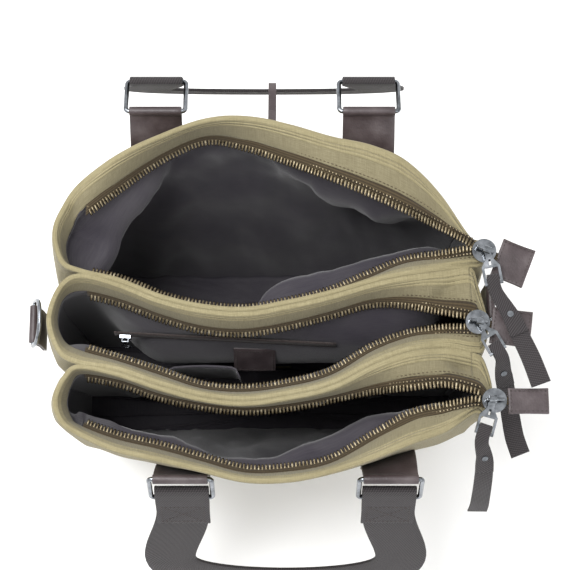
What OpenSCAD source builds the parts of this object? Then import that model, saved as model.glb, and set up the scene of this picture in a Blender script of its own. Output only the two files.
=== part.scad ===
// Canvas bag with three zipped compartments that stand open side by side.
// Origin: middle of the flat base, on the floor. +X to the zip sliders, +Y to the back, +Z up.

/* [Body] */
// Length of the base, left to right
base_length = 310; // [290:1:320]
// Depth of the base, front to back
base_depth = 140; // [130:1:150]
// Thickness of the base panel
base_thickness = 3; // [2:0.5:4]
// Thickness of the outer canvas with its backing
canvas = 2; // [1.5:0.1:2.5]
// Height of the back rim
back_rim_height = 240; // [236:1:244]
// Height of the two ridges between the compartments
ridge_height = 232; // [228:1:236]
// Height of the front rim
front_rim_height = 236; // [232:1:240]
// Outward bulge of the walls at half height
bulge = 11; // [0:1:12]

/* [Zips] */
// Height of the zip teeth at the sliders
zip_height = 232; // [230:1:234]
// Width of the tape that shows, teeth included
tape_width = 8; // [6:0.5:9]
// Width of one row of teeth
tooth_width = 3; // [2:0.5:4]
// Diameter of the round slider cap
cap_diameter = 17; // [14:1:18]
// Width of the webbing pull strips
pull_width = 12.5; // [10:0.5:14]

/* [Handles] */
// Width of the handle webbing and its leather tabs
webbing_width = 38; // [30:1:40]
// Thickness of the handle webbing
webbing_thickness = 3; // [2:0.5:4]
// Wire diameter of the rectangular rings
ring_wire = 3.5; // [3:0.5:4]
// Distance between the two long bars of a rectangular ring
ring_reach = 26; // [24:1:30]
// Running clearance between a bar and the loop round it
loop_clearance = 0.08; // [0.05:0.01:0.1]
// Drop of the hanging handles below their rings
handle_drop = 116; // [80:1:130]

/* [Shoulder strap rings] */
// Width of the leather loops at both ends of the bag
d_tab_width = 27; // [24:1:30]
// Wire diameter of the D-rings
d_wire = 3; // [2.5:0.5:3.5]

/* [Hidden] */
$fn = 32;

khaki = "#b5a878";
lining_grey = "#3a363a";
tape_brown = "#4b3e28";
tooth_brass = "#968764";
leather = "#5f4c4e";
webbing = "#4b4646";
nickel = "#aab4be";

// Compartments: 0 is the back one, 1 the middle one, 2 the front one.
BACK = 0;
MID = 1;
FRONT = 2;

// Stations along the bag, and the depth of each rim line and each teeth line at them.
stations = [-132, -105, -75, -45, -15, 15, 45, 75, 100, 124, 144];
rim_lines = [
    [88, 106, 120, 131, 133, 127, 118, 111, 99, 77, 48],
    [20, 13, 1, -6, -8, -3, 4, 13, 18, 22, 25],
    [-45, -50, -60, -68, -71, -67, -60, -45, -36, -33, -36],
    [-94, -106, -113, -120, -127, -127, -121, -111, -101, -92, -79]
];
rear_teeth = [
    [60, 86, 110, 123, 116, 103, 88, 75, 63, 54, 42],
    [8, 2, -9, -18, -20, -15, -7, 1, -1, -8, -12],
    [-50, -54, -64, -70, -73, -71, -66, -62, -61, -59, -64]
];
front_teeth = [
    [24, 17, 5, -2, -4, 1, 9, 23, 34, 35, 36],
    [-29, -38, -48, -58, -60, -56, -48, -30, -20, -18, -19],
    [-83, -93, -100, -109, -117, -116, -110, -92, -78, -73, -72]
];
// Round ends of each mouth, rear to front on the left and front to rear on the right.
left_rim = [
    [[-146, 71], [-153, 50], [-147, 28]],
    [[-147, 12], [-155, -12], [-147, -36]],
    [[-143, -54], [-149, -70], [-144, -85]]
];
right_rim = [
    [[151, 26], [156, 34], [152, 44]],
    [[152, -34], [155, -14], [149, 12]],
    [[151, -80], [157, -64], [152, -42]]
];
left_inner = [
    [[-140, 52], [-144, 41], [-141, 30]],
    [[-146, 4], [-149, -10], [-144, -22]],
    [[-138, -58], [-139, -68], [-137, -77]]
];
right_inner = [
    [[149, 34], [154, 35], [149, 38]],
    [[148, -18], [152, -16], [148, -13]],
    [[150, -74], [154, -71], [150, -68]]
];
rim_heights = [back_rim_height, ridge_height, ridge_height, front_rim_height];
left_end_height = 229;
right_end_height = 226.5;
base_lines = [base_depth / 2, 8, -34, -base_depth / 2];
corner_cut = [14, 0, 0, 14];
facing_widths = [28, 24, 24, 26];
steps = 2;
wall_levels = [0, 0.2, 0.4, 0.6, 0.8, 1];

// Column numbers of the fine loops where the walls change from one panel to the next.
REAR_FROM = 0;
REAR_TO = 10 * steps;
LEFT_TO = 14 * steps;
FRONT_TO = 24 * steps;
LOOP = 28 * steps;

function mix(a, b, t) = a + (b - a) * t;
function smooth(t) = let (s = min(max(t, 0), 1)) s * s * (3 - 2 * s);
function flat(p) = [p[0], p[1]];
function reversed(list) = [for (i = [len(list) - 1:-1:0]) list[i]];
function unit(v) = v / max(norm(v), 0.000001);
function swap(v) = [-v[1], v[0]];

function curve_point(a, b, c, d, t) = 0.5 * (2 * b + (c - a) * t
    + (2 * a - 5 * b + 4 * c - d) * t * t + (3 * b - a - 3 * c + d) * t * t * t);
function round_loop(p) = let (n = len(p)) [for (i = [0:n - 1]) for (s = [0:steps - 1])
    curve_point(p[(i + n - 1) % n], p[i], p[(i + 1) % n], p[(i + 2) % n], s / steps)];
function straight_loop(p) = let (n = len(p)) [for (i = [0:n - 1]) for (s = [0:steps - 1])
    mix(p[i], p[(i + 1) % n], s / steps)];

// Height of a rim line, easing down to both ends of the bag.
function rim_z(line, x) = let (middle = mix(rim_heights[line], left_end_height, smooth((-x - 90) / 60)))
    mix(middle, right_end_height, smooth((x - 95) / 45));
function rim_side(line, forward) = let (side = [for (i = [0:len(stations) - 1])
    [stations[i], rim_lines[line][i], rim_z(line, stations[i])]]) forward ? side : reversed(side);
function end_points(list, z) = [for (p = list) [p[0], p[1], z]];
// Mouth of compartment c: rear side right to left, left end, front side, right end.
function rim_loop(c) = concat(rim_side(c, false), end_points(left_rim[c], left_end_height - 1),
    rim_side(c + 1, true), end_points(right_rim[c], right_end_height - 0.5));

// A teeth edge hangs one facing width below its rim, and meets the slider height at the right.
function edge_drop(line, reach) =
    sqrt(max(facing_widths[line] * facing_widths[line] - reach * reach, 9));
function edge_point(line, rim, p) = let (hung = rim[2] - edge_drop(line, norm(flat(rim) - p)))
    [p[0], p[1], mix(hung, zip_height, smooth((p[0] - 100) / 40))];
function edge_side(line, ys, forward) = let (side = [for (i = [0:len(stations) - 1])
    edge_point(line, [stations[i], rim_lines[line][i], rim_z(line, stations[i])], [stations[i], ys[i]])])
    forward ? side : reversed(side);
function edge_left(c) = [for (i = [0:2]) edge_point(c,
    [left_rim[c][i][0], left_rim[c][i][1], left_end_height], left_inner[c][i])];
function edge_loop(c) = concat(edge_side(c, rear_teeth[c], false), edge_left(c),
    edge_side(c + 1, front_teeth[c], true), end_points(right_inner[c], zip_height));
// Sewn edge of the tape, between the facing and the teeth.
function sewn_loop(c) = let (rim = rim_loop(c), edge = edge_loop(c))
    [for (i = [0:len(rim) - 1]) mix(edge[i], rim[i], tape_width / 28)];

// Footprint of compartment c on the base, matched point by point to its mouth.
function foot_side(line, forward) = let (reach = base_length / 2 / 152, side = [for (x = stations)
    [x * reach, base_lines[line], base_thickness]]) forward ? side : reversed(side);
function foot_end(x, lines) = [
    [x, base_lines[lines[0]] + (lines[0] < lines[1] ? -1 : 1) * corner_cut[lines[0]], base_thickness],
    [x, (base_lines[lines[0]] + base_lines[lines[1]]) / 2, base_thickness],
    [x, base_lines[lines[1]] + (lines[0] < lines[1] ? 1 : -1) * corner_cut[lines[1]], base_thickness]
];
function foot_loop(c) = concat(foot_side(c, false), foot_end(-base_length / 2, [c, c + 1]),
    foot_side(c + 1, true), foot_end(base_length / 2, [c + 1, c]));

// Outward push of each loop point at half height; none along the shared dividers.
function push(c, i) = i <= 10 ? (c == BACK ? [0, bulge, 0] : [0, 0, 0])
    : i <= 13 ? [-0.7 * bulge, 0, 0]
    : i <= 24 ? (c == FRONT ? [0, -0.7 * bulge, 0] : [0, 0, 0])
    : [bulge / 4, 0, 0];
function push_loop(c) = straight_loop([for (i = [0:27]) push(c, i)]);
function swell_at(v) = sin(180 * pow(v, 1.5));
function wall_row(c, v) = let (foot = straight_loop(foot_loop(c)), rim = round_loop(rim_loop(c)),
    swell = push_loop(c)) [for (i = [0:LOOP - 1]) mix(foot[i], rim[i], v) + swell[i] * swell_at(v)];
function wall_grid(c) = [for (v = wall_levels) wall_row(c, v)];

// Horizontal inward direction at each point of a loop, and the loop moved that way.
function inward(row) = let (n = len(row)) [for (i = [0:n - 1])
    let (d = unit(flat(row[(i + 1) % n] - row[(i + n - 1) % n]))) [swap(d)[0], swap(d)[1], 0]];
function inset_row(row, d) = let (m = inward(row)) [for (i = [0:len(row) - 1]) row[i] + m[i] * d];
function inset_grid(grid, d) = [for (row = grid) inset_row(row, d)];
function columns(grid, from, to) = [for (row = grid) [for (i = [from:to]) row[i % len(row)]]];

// Closed solid between two matched grids of points, rows by columns.
module slab(a, b) {
    rows = len(a);
    cols = len(a[0]);
    half = rows * cols;
    points = concat([for (row = a) for (p = row) p], [for (row = b) for (p = row) p]);
    edge = concat([for (i = [0:cols - 1]) i], [for (j = [1:rows - 1]) j * cols + cols - 1],
        [for (i = [cols - 2:-1:0]) (rows - 1) * cols + i], [for (j = [rows - 2:-1:1]) j * cols]);
    function cell(j, i) = [j * cols + i, j * cols + i + 1, (j + 1) * cols + i + 1, (j + 1) * cols + i];
    front = [for (j = [0:rows - 2]) for (i = [0:cols - 2]) let (q = cell(j, i))
        each [[q[0], q[1], q[2]], [q[0], q[2], q[3]]]];
    back = [for (f = front) [f[0] + half, f[2] + half, f[1] + half]];
    around = [for (k = [0:len(edge) - 1]) let (p = edge[k], q = edge[(k + 1) % len(edge)])
        each [[p, p + half, q + half], [p, q + half, q]]];
    polyhedron(points, concat(front, back, around), convexity = 8);
}

// Closed cup: the outer rows rise, the inner rows lie inside them, and both have a floor.
module cup(outer, inner) {
    rows = len(outer);
    cols = len(outer[0]);
    half = rows * cols;
    middle = (outer[0][0] + outer[0][floor(cols / 2)]) / 2;
    floor_up = [0, 0, inner[0][0][2] - outer[0][0][2]];
    points = concat([for (row = outer) for (p = row) p], [for (row = inner) for (p = row) p],
        [middle, middle + floor_up]);
    function at(j, i) = j * cols + i % cols;
    skin = [for (j = [0:rows - 2]) for (i = [0:cols - 1])
        each [[at(j, i), at(j, i + 1), at(j + 1, i + 1)], [at(j, i), at(j + 1, i + 1), at(j + 1, i)]]];
    lining_skin = [for (f = skin) [f[0] + half, f[2] + half, f[1] + half]];
    lip = [for (i = [0:cols - 1]) let (p = at(rows - 1, i), q = at(rows - 1, i + 1))
        each [[p, q, q + half], [p, q + half, p + half]]];
    under = [for (i = [0:cols - 1]) [2 * half, at(0, i + 1), at(0, i)]];
    over = [for (i = [0:cols - 1]) [2 * half + 1, at(0, i) + half, at(0, i + 1) + half]];
    // The loops run clockwise seen from above, so every face is turned over here.
    polyhedron(points, [for (f = concat(skin, lining_skin, lip, under, over)) reversed(f)],
        convexity = 10);
}

// The seam gap keeps neighbouring panels from touching where two compartments meet.
seam_gap = 0.15;
module panel(c, from, to) {
    grid = wall_grid(c);
    slab(columns(inset_grid(grid, canvas), from, to), columns(inset_grid(grid, seam_gap), from, to));
}

module divider(c) {
    side = 1.2;
    rear = columns(inset_grid(wall_grid(c), side), LEFT_TO, FRONT_TO);
    front = columns(inset_grid(wall_grid(c + 1), side), REAR_FROM, REAR_TO);
    slab(rear, [for (row = front) reversed(row)]);
}

module base_panel() {
    color(khaki) linear_extrude(base_thickness) offset(r = 16) offset(delta = -16)
        square([base_length, base_depth], center = true);
}

module back_panel() {
    color(khaki) panel(BACK, REAR_FROM, REAR_TO);
}

module front_panel() {
    color(khaki) panel(FRONT, LEFT_TO, FRONT_TO);
}

module divider_rear() {
    color(khaki) divider(BACK);
}

module divider_front() {
    color(khaki) divider(MID);
}

module gusset_left() {
    color(khaki) for (c = [BACK:FRONT]) panel(c, REAR_TO, LEFT_TO);
}

module gusset_right() {
    color(khaki) for (c = [BACK:FRONT]) panel(c, FRONT_TO, LOOP);
}

// Lining of one compartment: a loose cup that ends at the sewn edge of the zip tape.
// The middle one hangs forward of its rear wall at two levels.
lining_gap = 2.6;
lining_skin = 0.8;
lining_levels = [0, 0.3, 0.6, 0.8];
slack_depth = [0, -10, -29, -19];
slack_slope = [0, 0, 0, -0.05];
function slack_share(i) = let (t = i / REAR_TO) t > 0 && t < 1 ? smooth(5 * t) * smooth(5 * (1 - t)) : 0;
function slack_row(row, level, skin) = [for (i = [0:len(row) - 1])
    let (hung = slack_depth[level] + slack_slope[level] * row[i][0] - skin)
    [row[i][0], mix(row[i][1], hung, slack_share(i)), row[i][2]]];
function lining_row(c, level, skin) = let (row = inset_row(wall_row(c, lining_levels[level]), lining_gap + skin))
    c == MID && level > 0 ? slack_row(row, level, skin) : row;
module lining(c) {
    lift = [0, 0, 0.5];
    top = [for (p = inset_row(round_loop(sewn_loop(c)), 0.6)) p - [0, 0, 2 + 6 * smooth((p[0] - 132) / 10)]];
    outer = concat([[for (p = lining_row(c, 0, 0)) p + lift]], [for (j = [1:3]) lining_row(c, j, 0)], [top]);
    inner = concat([[for (p = lining_row(c, 0, lining_skin)) p + lift * 3]],
        [for (j = [1:3]) lining_row(c, j, lining_skin)], [inset_row(top, lining_skin)]);
    color(lining_grey) cup(outer, inner);
}

// Canvas facing from a rim down to the tape; it ends at the middle of each round end.
facing_skin = 1.2;
module facing(c, front) {
    from = front ? 12 * steps : 28 * steps;
    to = front ? 24 * steps : 40 * steps;
    rim = inset_row(round_loop(rim_loop(c)), canvas + 0.3);
    sewn = round_loop(sewn_loop(c));
    top = columns([rim], from, to)[0];
    low = columns([sewn], from, to)[0];
    rows = [low, top];
    normals = [for (row = rows) [for (i = [0:len(row) - 1])
        let (k = min(i + 1, len(row) - 1), h = max(i - 1, 0))
        unit(cross(row[k] - row[h], rows[1][i] - rows[0][i] + [0, 0, 0.01]))]];
    under = [for (j = [0:1]) [for (i = [0:len(top) - 1]) rows[j][i] + normals[j][i] * facing_skin]];
    color(khaki) slab(under, rows);
}

tape_skin = 0.8;
module tape_side(c, from, to) {
    sewn = columns([round_loop(sewn_loop(c))], from, to)[0];
    edge = columns([round_loop(edge_loop(c))], from, to)[0];
    drop = [0, 0, -tape_skin];
    slab([[for (p = edge) p + drop], [for (p = sewn) p + drop]],
        [edge, sewn]);
}

module zip_tape(c) {
    color(tape_brown) {
        tape_side(c, REAR_FROM, REAR_TO - 1);
        tape_side(c, LEFT_TO + 1, FRONT_TO);
    }
}

// One row of teeth as a bead that stands on the free edge of the tape.
module teeth_side(c, from, to) {
    free = round_loop(edge_loop(c));
    edge = columns([free], from, to)[0];
    far = columns([inset_row(free, -tooth_width)], from, to)[0];
    low = [0, 0, 0.1];
    high = [0, 0, 2.4];
    slab([[for (p = far) p + low], [for (p = edge) p + low]],
        [[for (p = far) p + high], [for (p = edge) p + high]]);
}

module zip_teeth(c) {
    color(tooth_brass) {
        teeth_side(c, REAR_FROM, REAR_TO - 1);
        teeth_side(c, LEFT_TO + 1, FRONT_TO);
    }
}

// Zip ends: slider spots, the turn of each zip there, and how each puller lies.
slider_spots = [[153, 35], [147, -16], [157, -71]];
slider_turns = [-22, -8, 0];
eye_shifts = [1.4, 1, -1.8];
puller_skews = [33, 38, -15];
puller_dip = 12;
bail_height = 9.5;
bail_wire = 1.1;
bail_half = 5.5;
puller_length = 24;
puller_wire = 1.2;

module at_slider(c) {
    translate([slider_spots[c][0], slider_spots[c][1], zip_height]) rotate([0, 0, slider_turns[c]])
        children();
}

// Folded leather tab sewn over the end of each zip, with the bare tape that leads to it.
tail_lengths = [24, 28, 28];
tail_widths = [29, 26, 18];
tail_skin = 3;
module zip_tail(c) {
    tongue = 11;
    color(leather) at_slider(c) {
        translate([10 + tail_lengths[c] / 2, 0, -tail_skin / 2]) linear_extrude(tail_skin)
            offset(r = 2) offset(delta = -2) square([tail_lengths[c], tail_widths[c]], center = true);
        translate([tongue / 2, 0, 0.4]) cube([tongue, 6, 1], center = true);
    }
}

// Slider: round cap above the teeth, plate below them, post between, bail on top.
module slider(c) {
    cap_low = 2.6;
    cap_thickness = 2;
    plate_low = -4;
    plate_thickness = 1.6;
    post_back = -3;
    color(nickel) at_slider(c) {
        translate([0, 0, cap_low]) cylinder(d = cap_diameter, h = cap_thickness, $fn = 48);
        translate([-5, -3.5, plate_low]) cube([11, 7, plate_thickness]);
        translate([post_back, 0, plate_low]) cylinder(r = 0.9, h = cap_low - plate_low + 1);
        for (side = [-1, 1]) {
            translate([side * bail_half, 0, cap_low + 1])
                cylinder(r = bail_wire, h = bail_height - cap_low - 1);
            translate([side * bail_half, 0, bail_height]) sphere(r = bail_wire);
        }
        translate([-bail_half, 0, bail_height]) rotate([0, 90, 0])
            cylinder(r = bail_wire, h = 2 * bail_half);
    }
}

// Puller: knuckle on the bail, keyhole plate, window and end bar for the pull strip.
module at_puller(c) {
    at_slider(c) translate([eye_shifts[c], 0, bail_height]) rotate([puller_dip, 0, 0]) children();
}
module puller(c) {
    knuckle = 5;
    knuckle_wall = 1.5;
    neck = 4.5;
    head = 13;
    plate = 2;
    rail = 1.8;
    window_start = 13;
    color(nickel) at_puller(c) difference() {
        union() {
            translate([-knuckle / 2, 0, 0]) rotate([0, 90, 0])
                cylinder(r = bail_wire + loop_clearance + knuckle_wall, h = knuckle);
            rotate([0, 0, puller_skews[c]]) {
                translate([0, 0, -plate / 2]) linear_extrude(plate) difference() {
                    polygon([[-neck / 2, 0], [-neck / 2, -6], [-head / 2, -window_start + 1],
                        [-head / 2, -puller_length], [head / 2, -puller_length],
                        [head / 2, -window_start + 1], [neck / 2, -6], [neck / 2, 0]]);
                    translate([-head / 2 + rail, -puller_length - 1])
                        square([head - 2 * rail, puller_length + 1 - window_start]);
                    translate([0, -9]) square([1.6, 4], center = true);
                }
                translate([-head / 2, -puller_length, 0]) rotate([0, 90, 0])
                    cylinder(r = puller_wire, h = head);
            }
        }
        translate([-knuckle, 0, 0]) rotate([0, 90, 0])
            cylinder(r = bail_wire + loop_clearance, h = 2 * knuckle);
    }
}

// Pull strips: doubled webbing that loops round the puller's end bar and drapes from it.
strip_skin = 2.6;
strip_span = 9;
strip_routes = [
    [[169.5, -11, 237.6], [175.5, -25, 238.4], [183, -42, 238.2], [189.5, -60, 237.2]],
    [[165, -50, 227], [168, -58, 216], [171.5, -68, 205], [174.5, -80, 196], [177.5, -92, 190],
        [182, -104, 186]],
    [[150.4, -109, 225], [151.5, -118, 214], [152, -126, 202], [152.5, -133, 188], [153, -139, 174],
        [153, -143, 160]]
];
function turned(v, a) = [v[0] * cos(a) - v[1] * sin(a), v[0] * sin(a) + v[1] * cos(a), v[2]];
function dipped(v, a) = [v[0], v[1] * cos(a) - v[2] * sin(a), v[1] * sin(a) + v[2] * cos(a)];
function puller_axis(c) = turned(dipped(turned([1, 0, 0], puller_skews[c]), puller_dip), slider_turns[c]);
function puller_way(c) = turned(dipped(turned([0, -1, 0], puller_skews[c]), puller_dip), slider_turns[c]);
function puller_end(c) = [slider_spots[c][0], slider_spots[c][1], zip_height]
    + turned([eye_shifts[c], 0, bail_height]
        + dipped(turned([0, -puller_length, 0], puller_skews[c]), puller_dip), slider_turns[c]);
module pull_strip(c) {
    route = strip_routes[c];
    start = puller_end(c);
    axis = puller_axis(c);
    n = len(route) + 2;
    bore = puller_wire + loop_clearance;
    path = concat([start + puller_way(c) * (bore + 0.4), start + puller_way(c) * 6], route);
    widths = [for (i = [0:n - 1]) let (along = unit(path[min(i + 1, n - 1)] - path[max(i - 1, 0)]),
        flat_axis = unit(i == 0 ? axis : i == 1 ? axis + unit([-along[1], along[0], 0])
            : [-along[1], along[0], 0] + [0.001, 0, 0])) unit(flat_axis - along * (along * flat_axis))];
    ups = [for (i = [0:n - 1]) let (along = unit(path[min(i + 1, n - 1)] - path[max(i - 1, 0)]))
        unit(cross(along, widths[i]))];
    left = [for (i = [0:n - 1]) path[i] - widths[i] * half_strip(i)];
    right = [for (i = [0:n - 1]) path[i] + widths[i] * half_strip(i)];
    lift = [for (i = [0:n - 1]) ups[i] * strip_skin / 2];
    color(webbing) {
        slab([[for (i = [0:n - 1]) left[i] - lift[i]], [for (i = [0:n - 1]) right[i] - lift[i]]],
            [[for (i = [0:n - 1]) left[i] + lift[i]], [for (i = [0:n - 1]) right[i] + lift[i]]]);
        at_puller(c) rotate([0, 0, puller_skews[c]]) translate([0, -puller_length, 0])
            rotate([0, 90, 0]) difference() {
                cylinder(r = bore + 1.3, h = strip_span, center = true);
                cylinder(r = bore, h = strip_span + 1, center = true);
            }
    }
}
function half_strip(i) = i == 0 ? strip_span / 2 - 0.5 : i == 1 ? pull_width / 2 - 1.4 : pull_width / 2;

// Rivet through both layers of a pull strip, near its top.
module pull_rivet(c) {
    route = strip_routes[c];
    along = unit(route[1] - puller_end(c) - puller_way(c) * 6);
    across = unit([-along[1], along[0], 0]);
    up = unit(cross(along, across));
    tilt = acos(max(min(up[2], 1), -1));
    turn = atan2(up[1], up[0]);
    color(nickel) translate(route[0]) rotate([0, tilt, turn])
        cylinder(r = 2.2, h = strip_skin + 1.2, center = true);
}

// Outside of a rim wall: depth at x and height z, pushed out with the bulge.
function rim_at(line, x) = lookup(x, [for (i = [0:len(stations) - 1]) [stations[i], rim_lines[line][i]]]);
function wall_depth(line, x, z) = let (top = rim_z(line, x), v = (z - base_thickness) / (top - base_thickness),
    swell = line == 0 ? bulge : -0.7 * bulge)
    mix(base_lines[line], rim_at(line, x), v) + swell * swell_at(v);

// Handle hardware: ring centres along the bag, hinge line and rest dip of each side.
FRONT_SIDE = -1;
REAR_SIDE = 1;
ring_spots_front = [-60, 86];
ring_spots_rear = [-82, 74];
front_hinge = [-124, 222];
rear_hinge = [143, 222];
front_ring_dip = 66;
rear_ring_dip = 15;
front_handle_dip = 60;
rear_handle_dip = 74;
ring_half = webbing_width / 2 + 1 + ring_wire / 2;
ring_corner = 2.6;
tab_skin = 1.6;

// Rectangular ring: hinge bar on X at the origin, outer bar ring_reach away along -Y.
module rectangular_ring() {
    r = ring_wire / 2;
    long = 2 * (ring_half - ring_corner);
    short = ring_reach - 2 * ring_corner;
    for (y = [0, -ring_reach]) translate([-long / 2, y, 0]) rotate([0, 90, 0]) cylinder(r = r, h = long);
    for (x = [-ring_half, ring_half]) translate([x, -ring_corner, 0]) rotate([90, 0, 0])
        cylinder(r = r, h = short);
    for (k = [0:3]) translate([k == 0 || k == 3 ? ring_half - ring_corner : ring_corner - ring_half,
        k < 2 ? -ring_corner : ring_corner - ring_reach, 0]) rotate([0, 0, 90 * k])
        rotate_extrude(angle = 90) translate([ring_corner, 0]) circle(r = r);
}
// Places a child made for the -Y side at one hinge line, dipped below the horizontal.
module at_ring(x, side) {
    hinge = side == FRONT_SIDE ? front_hinge : rear_hinge;
    dip = side == FRONT_SIDE ? front_ring_dip : rear_ring_dip;
    translate([x, hinge[0], hinge[1]]) rotate([0, 0, side == FRONT_SIDE ? 0 : 180]) rotate([dip, 0, 0])
        children();
}
module ring(x, side) {
    color(nickel) at_ring(x, side) rectangular_ring();
}

// Leather tab: a tube round the hinge bar and a strap that follows the panel below it.
module handle_tab(x, side) {
    line = side == FRONT_SIDE ? 3 : 0;
    hinge = side == FRONT_SIDE ? front_hinge : rear_hinge;
    bore = ring_wire / 2 + loop_clearance;
    gap = 1.2;
    thick = 2.6;
    spread = [-0.5, -0.25, 0, 0.25, 0.5];
    drops = [[2.5, 0], [8, 0.35], [17, 0.75], [28, 1], [42, 1]];
    function place(s, d) = let (px = x + s * webbing_width, z = hinge[1] - d[0],
        surface = wall_depth(line, px, z) + side * gap) [px, mix(hinge[0] - side * 1.4, surface, d[1]), z];
    inner = [for (d = drops) [for (s = spread) place(s, d)]];
    outer = [for (row = inner) [for (p = row) p + [0, side * thick, 0]]];
    color(leather) {
        difference() {
            translate([x - webbing_width / 2, hinge[0], hinge[1]]) rotate([0, 90, 0])
                cylinder(r = bore + tab_skin, h = webbing_width);
            translate([x - webbing_width, hinge[0], hinge[1]]) rotate([0, 90, 0])
                cylinder(r = bore, h = 2 * webbing_width);
        }
        if (side == FRONT_SIDE) slab(outer, inner); else slab(inner, outer);
    }
}

// Handle: flat webbing bent in its own plane, with an end loop round each outer bar.
module at_handle(spots, side) {
    hinge = side == FRONT_SIDE ? front_hinge : rear_hinge;
    ring_dip = side == FRONT_SIDE ? front_ring_dip : rear_ring_dip;
    dip = side == FRONT_SIDE ? front_handle_dip : rear_handle_dip;
    middle = (spots[0] + spots[1]) / 2;
    translate([middle, hinge[0] + side * ring_reach * cos(ring_dip), hinge[1] - ring_reach * sin(ring_dip)])
        rotate([0, 0, side == FRONT_SIDE ? 0 : 180]) rotate([dip, 0, 0]) children();
}
module handle(spots, side) {
    span = (spots[1] - spots[0]) / 2;
    bore = ring_wire / 2 + loop_clearance;
    lead = 12;
    turns = 24;
    half = webbing_width / 2;
    bow = 1.3;
    function spine(a) = [-span * cos(a) * (1 + bow * sin(a) * sin(a)),
        -lead - (handle_drop - lead) * sin(a), 0];
    function side_way(a) = let (way = unit(spine(a + 0.5) - spine(a - 0.5))) [way[1], -way[0], 0];
    function edge(a, grow) = spine(a) + grow * (a == 0 ? [-1, 0, 0] : a == 180 ? [1, 0, 0] : side_way(a));
    inner_edge = concat([[half - span, -bore - 0.3, 0]], [for (k = [0:turns]) edge(180 * k / turns, -half)],
        [[span - half, -bore - 0.3, 0]]);
    outer_edge = concat([[-span - half, -bore - 0.3, 0]], [for (k = [0:turns]) edge(180 * k / turns, half)],
        [[span + half, -bore - 0.3, 0]]);
    up = [0, 0, webbing_thickness / 2];
    color(webbing) at_handle(spots, side) {
        slab([[for (p = outer_edge) p - up], [for (p = inner_edge) p - up]],
            [[for (p = outer_edge) p + up], [for (p = inner_edge) p + up]]);
        for (x = [-span, span]) translate([x, 0, 0]) rotate([0, 90, 0]) difference() {
            cylinder(r = bore + tab_skin, h = webbing_width, center = true);
            cylinder(r = bore, h = webbing_width + 1, center = true);
        }
    }
}

// Shoulder strap rings: hinge bar on Y at the origin, round end along +Z.
d_half = d_tab_width / 2 + 0.8 + d_wire / 2;
d_leg = 7;
d_left_hinge = [-168, -12, 205];
d_right_hinge = [160, 5, 212];
d_left_lean = 20;
d_right_lean = 168;
module d_ring_shape() {
    r = d_wire / 2;
    translate([0, -d_half, 0]) rotate([-90, 0, 0]) cylinder(r = r, h = 2 * d_half);
    for (y = [-d_half, d_half]) {
        translate([0, y, 0]) sphere(r = r);
        translate([0, y, 0]) cylinder(r = r, h = d_leg);
    }
    translate([0, 0, d_leg]) rotate([0, -90, 0]) rotate([0, 0, -90]) rotate_extrude(angle = 180)
        translate([d_half, 0]) circle(r = r);
}
module d_ring(hinge, lean) {
    color(nickel) translate(hinge) rotate([0, lean, 0]) d_ring_shape();
}
module d_tab(hinge, side, surface) {
    bore = d_wire / 2 + loop_clearance;
    thick = 2.4;
    drops = [[2.3, 0], [9, 0.45], [18, 1], [36, 1]];
    inner = [for (d = drops) [for (s = [-0.5, 0.5])
        [mix(hinge[0] - side * 1.2, surface, d[1]), hinge[1] + s * d_tab_width, hinge[2] - d[0]]]];
    outer = [for (row = inner) [for (p = row) p + [side * thick, 0, 0]]];
    color(leather) {
        difference() {
            translate([hinge[0], hinge[1] - d_tab_width / 2, hinge[2]]) rotate([-90, 0, 0])
                cylinder(r = bore + tab_skin, h = d_tab_width);
            translate([hinge[0], hinge[1] - d_tab_width, hinge[2]]) rotate([-90, 0, 0])
                cylinder(r = bore, h = 2 * d_tab_width);
        }
        if (side < 0) slab(inner, outer); else slab(outer, inner);
    }
}

// Inner zip pocket of the middle compartment: closed zip, its slider and ring puller.
inner_start = [-104, -14.5, 184];
inner_length = 150;
inner_turn = -3;
inner_tape = 14;
inner_hinge = [0, -6.8, 1];
module at_inner() {
    translate(inner_start) rotate([0, 0, inner_turn]) children();
}
module inner_zip() {
    tape = 1;
    tooth = 2.4;
    color(tape_brown) at_inner() {
        translate([-8, -tape, -inner_tape / 2]) cube([inner_length + 12, tape, inner_tape]);
        translate([-4, -tape - 1, -tooth / 2]) cube([inner_length + 4, 1.2, tooth]);
    }
}
module inner_slider() {
    color(nickel) at_inner() {
        difference() {
            translate([-4, -4.5, -3.5]) cube([8, 2.4, 7]);
            translate([-5, -2.6, -1.5]) cube([10, 3, 3]);
        }
        for (x = [-2.2, 2.2]) translate([x, -4, 1]) rotate([90, 0, 0]) cylinder(r = 0.7, h = 2.8);
        for (x = [-2.2, 2.2]) translate([x, inner_hinge[1], 1]) sphere(r = 0.7);
        translate([-2.2, inner_hinge[1], 1]) rotate([0, 90, 0]) cylinder(r = 0.7, h = 4.4);
    }
}
module inner_puller() {
    hang = 18;
    color(nickel) at_inner() translate(inner_hinge) {
        difference() {
            translate([-1.2, 0, 0]) rotate([0, 90, 0]) cylinder(r = 1.9, h = 2.4);
            translate([-2, 0, 0]) rotate([0, 90, 0]) cylinder(r = 0.7 + loop_clearance, h = 4);
        }
        translate([-1.1, -1.9, -9]) cube([2.2, 1.2, 8.2]);
        translate([0, -1.3, -13]) rotate([90, 0, 0]) rotate_extrude() translate([3.6, 0]) circle(r = 0.7);
        translate([-1.1, -1.9, -hang - 6]) cube([2.2, 1.2, 7.4]);
    }
}

// Blank leather label on the rear lining, below the zip.
module label_patch() {
    color(leather) translate([-10, -29.5, 158]) rotate([-28, 0, 0])
        translate([-15.5, -1.4, -13]) cube([31, 1.4, 26]);
}

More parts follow.
